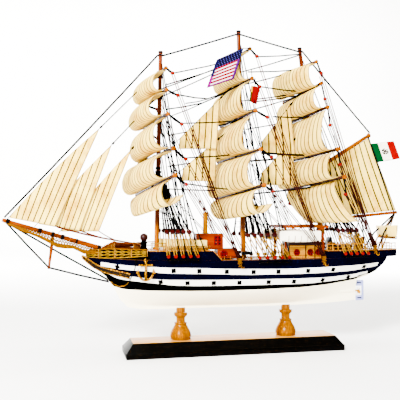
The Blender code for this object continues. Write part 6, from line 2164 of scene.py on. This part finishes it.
def banded_ensign(tree, u, v):
    """Green, white and red upright bands with a blotchy brown wreath in the white one."""
    colour = layered(tree, step_mask(tree, u, 0.29), linear("#003c18"), linear("#fdf4e0"))
    colour = layered(tree, step_mask(tree, u, 0.66), colour, linear("#7c0002"))
    squares = []
    for value, centre, size in ((u, 0.475, 1.0), (v, 0.5, 0.85)):
        off = calc(tree, 'MULTIPLY', calc(tree, 'SUBTRACT', value, centre), size)
        squares.append(calc(tree, 'POWER', off, 2.0))
    inside = step_mask(tree, calc(tree, 'ADD', *squares), 0.019, False)
    blotch = step_mask(tree, noise(tree, place(tree), 650.0, 1.0), 0.41)
    return layered(tree, calc(tree, 'MULTIPLY', inside, blotch), colour, linear("#140600"))


def plain_pennant(tree, u, v):
    """A red field with a green and yellow hoist."""
    colour = layered(tree, step_mask(tree, u, 0.2), linear("#2a3004"), linear("#600202"))
    corner = calc(tree, 'MULTIPLY', step_mask(tree, u, 0.2, False), step_mask(tree, v, 0.6))
    return layered(tree, corner, colour, linear("#b08010"))


# name, material, y, corners (x, z) as top hoist, bottom hoist, bottom fly, top fly, its node and line
FLAGS = (
    ("flag_of_main", flag_material("printed_stripes", striped_ensign), -56.0,
     ((-1.3, 384.0), (-35.4, 367.2), (-48.3, 332.0), (-14.3, 344.5)), "flag_main",
     ((8.0, -54.95, 384.0), (-2.6, -56.2, 383.2))),
    ("flag_of_stern", flag_material("printed_bands", banded_ensign), -3.4,
     ((195.3, 274.6), (204.4, 249.3), (237.6, 255.1), (228.7, 278.9)), "flag_stern",
     ((190.6, -3.2, 283.6), (227.4, -3.4, 181.6))),
    ("flag_of_yardarm", flag_material("printed_red", plain_pennant), -58.8,
     ((7.6, 336.6), (5.0, 317.5), (14.0, 313.5), (19.0, 334.8)), None,
     ((12.3, -58.9, 346.0), (12.3, -58.8, 336.0))),
)
FLAG_ACROSS = 24
FLAG_DOWN = 14
for name, print_finish, side, corners, stands_for, line_ends in FLAGS:
    top_hoist, low_hoist, low_fly, top_fly = [Vector(c) for c in corners]
    wave = 1.0 if stands_for else 0.5
    rows = []
    for j in range(FLAG_DOWN + 1):
        v = j / FLAG_DOWN
        row = []
        for i in range(FLAG_ACROSS + 1):
            u = i / FLAG_ACROSS
            spot = low_hoist.lerp(low_fly, u).lerp(top_hoist.lerp(top_fly, u), v)
            row.append(Vector((spot.x, side + wave * sin(2 * pi * u + 0.6 * (v - 0.5)), spot.y)))
        rows.append(row)
    made, edge, area = woven(name, rows, lambda a, b: (b / FLAG_ACROSS, a / FLAG_DOWN), print_finish, 0.0004)
    hem = tubes(name + "_hem", [(edge, 0.25)], tarred_thread, sides=5)
    line = tubes(name + "_line", [(line_ends, 1.05 if name == "flag_of_stern" else 0.6)], black_thread)
    hoist = top_hoist - low_hoist
    square = Vector((-hoist.y, hoist.x)).normalized()
    spread = [[p.x * a.x + p.z * a.y for row in rows for p in row] for a in (square, hoist.normalized())]
    width, length = [(max(values) - min(values)) * 1.03 for values in spread]
    if stands_for:
        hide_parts(stands_for)
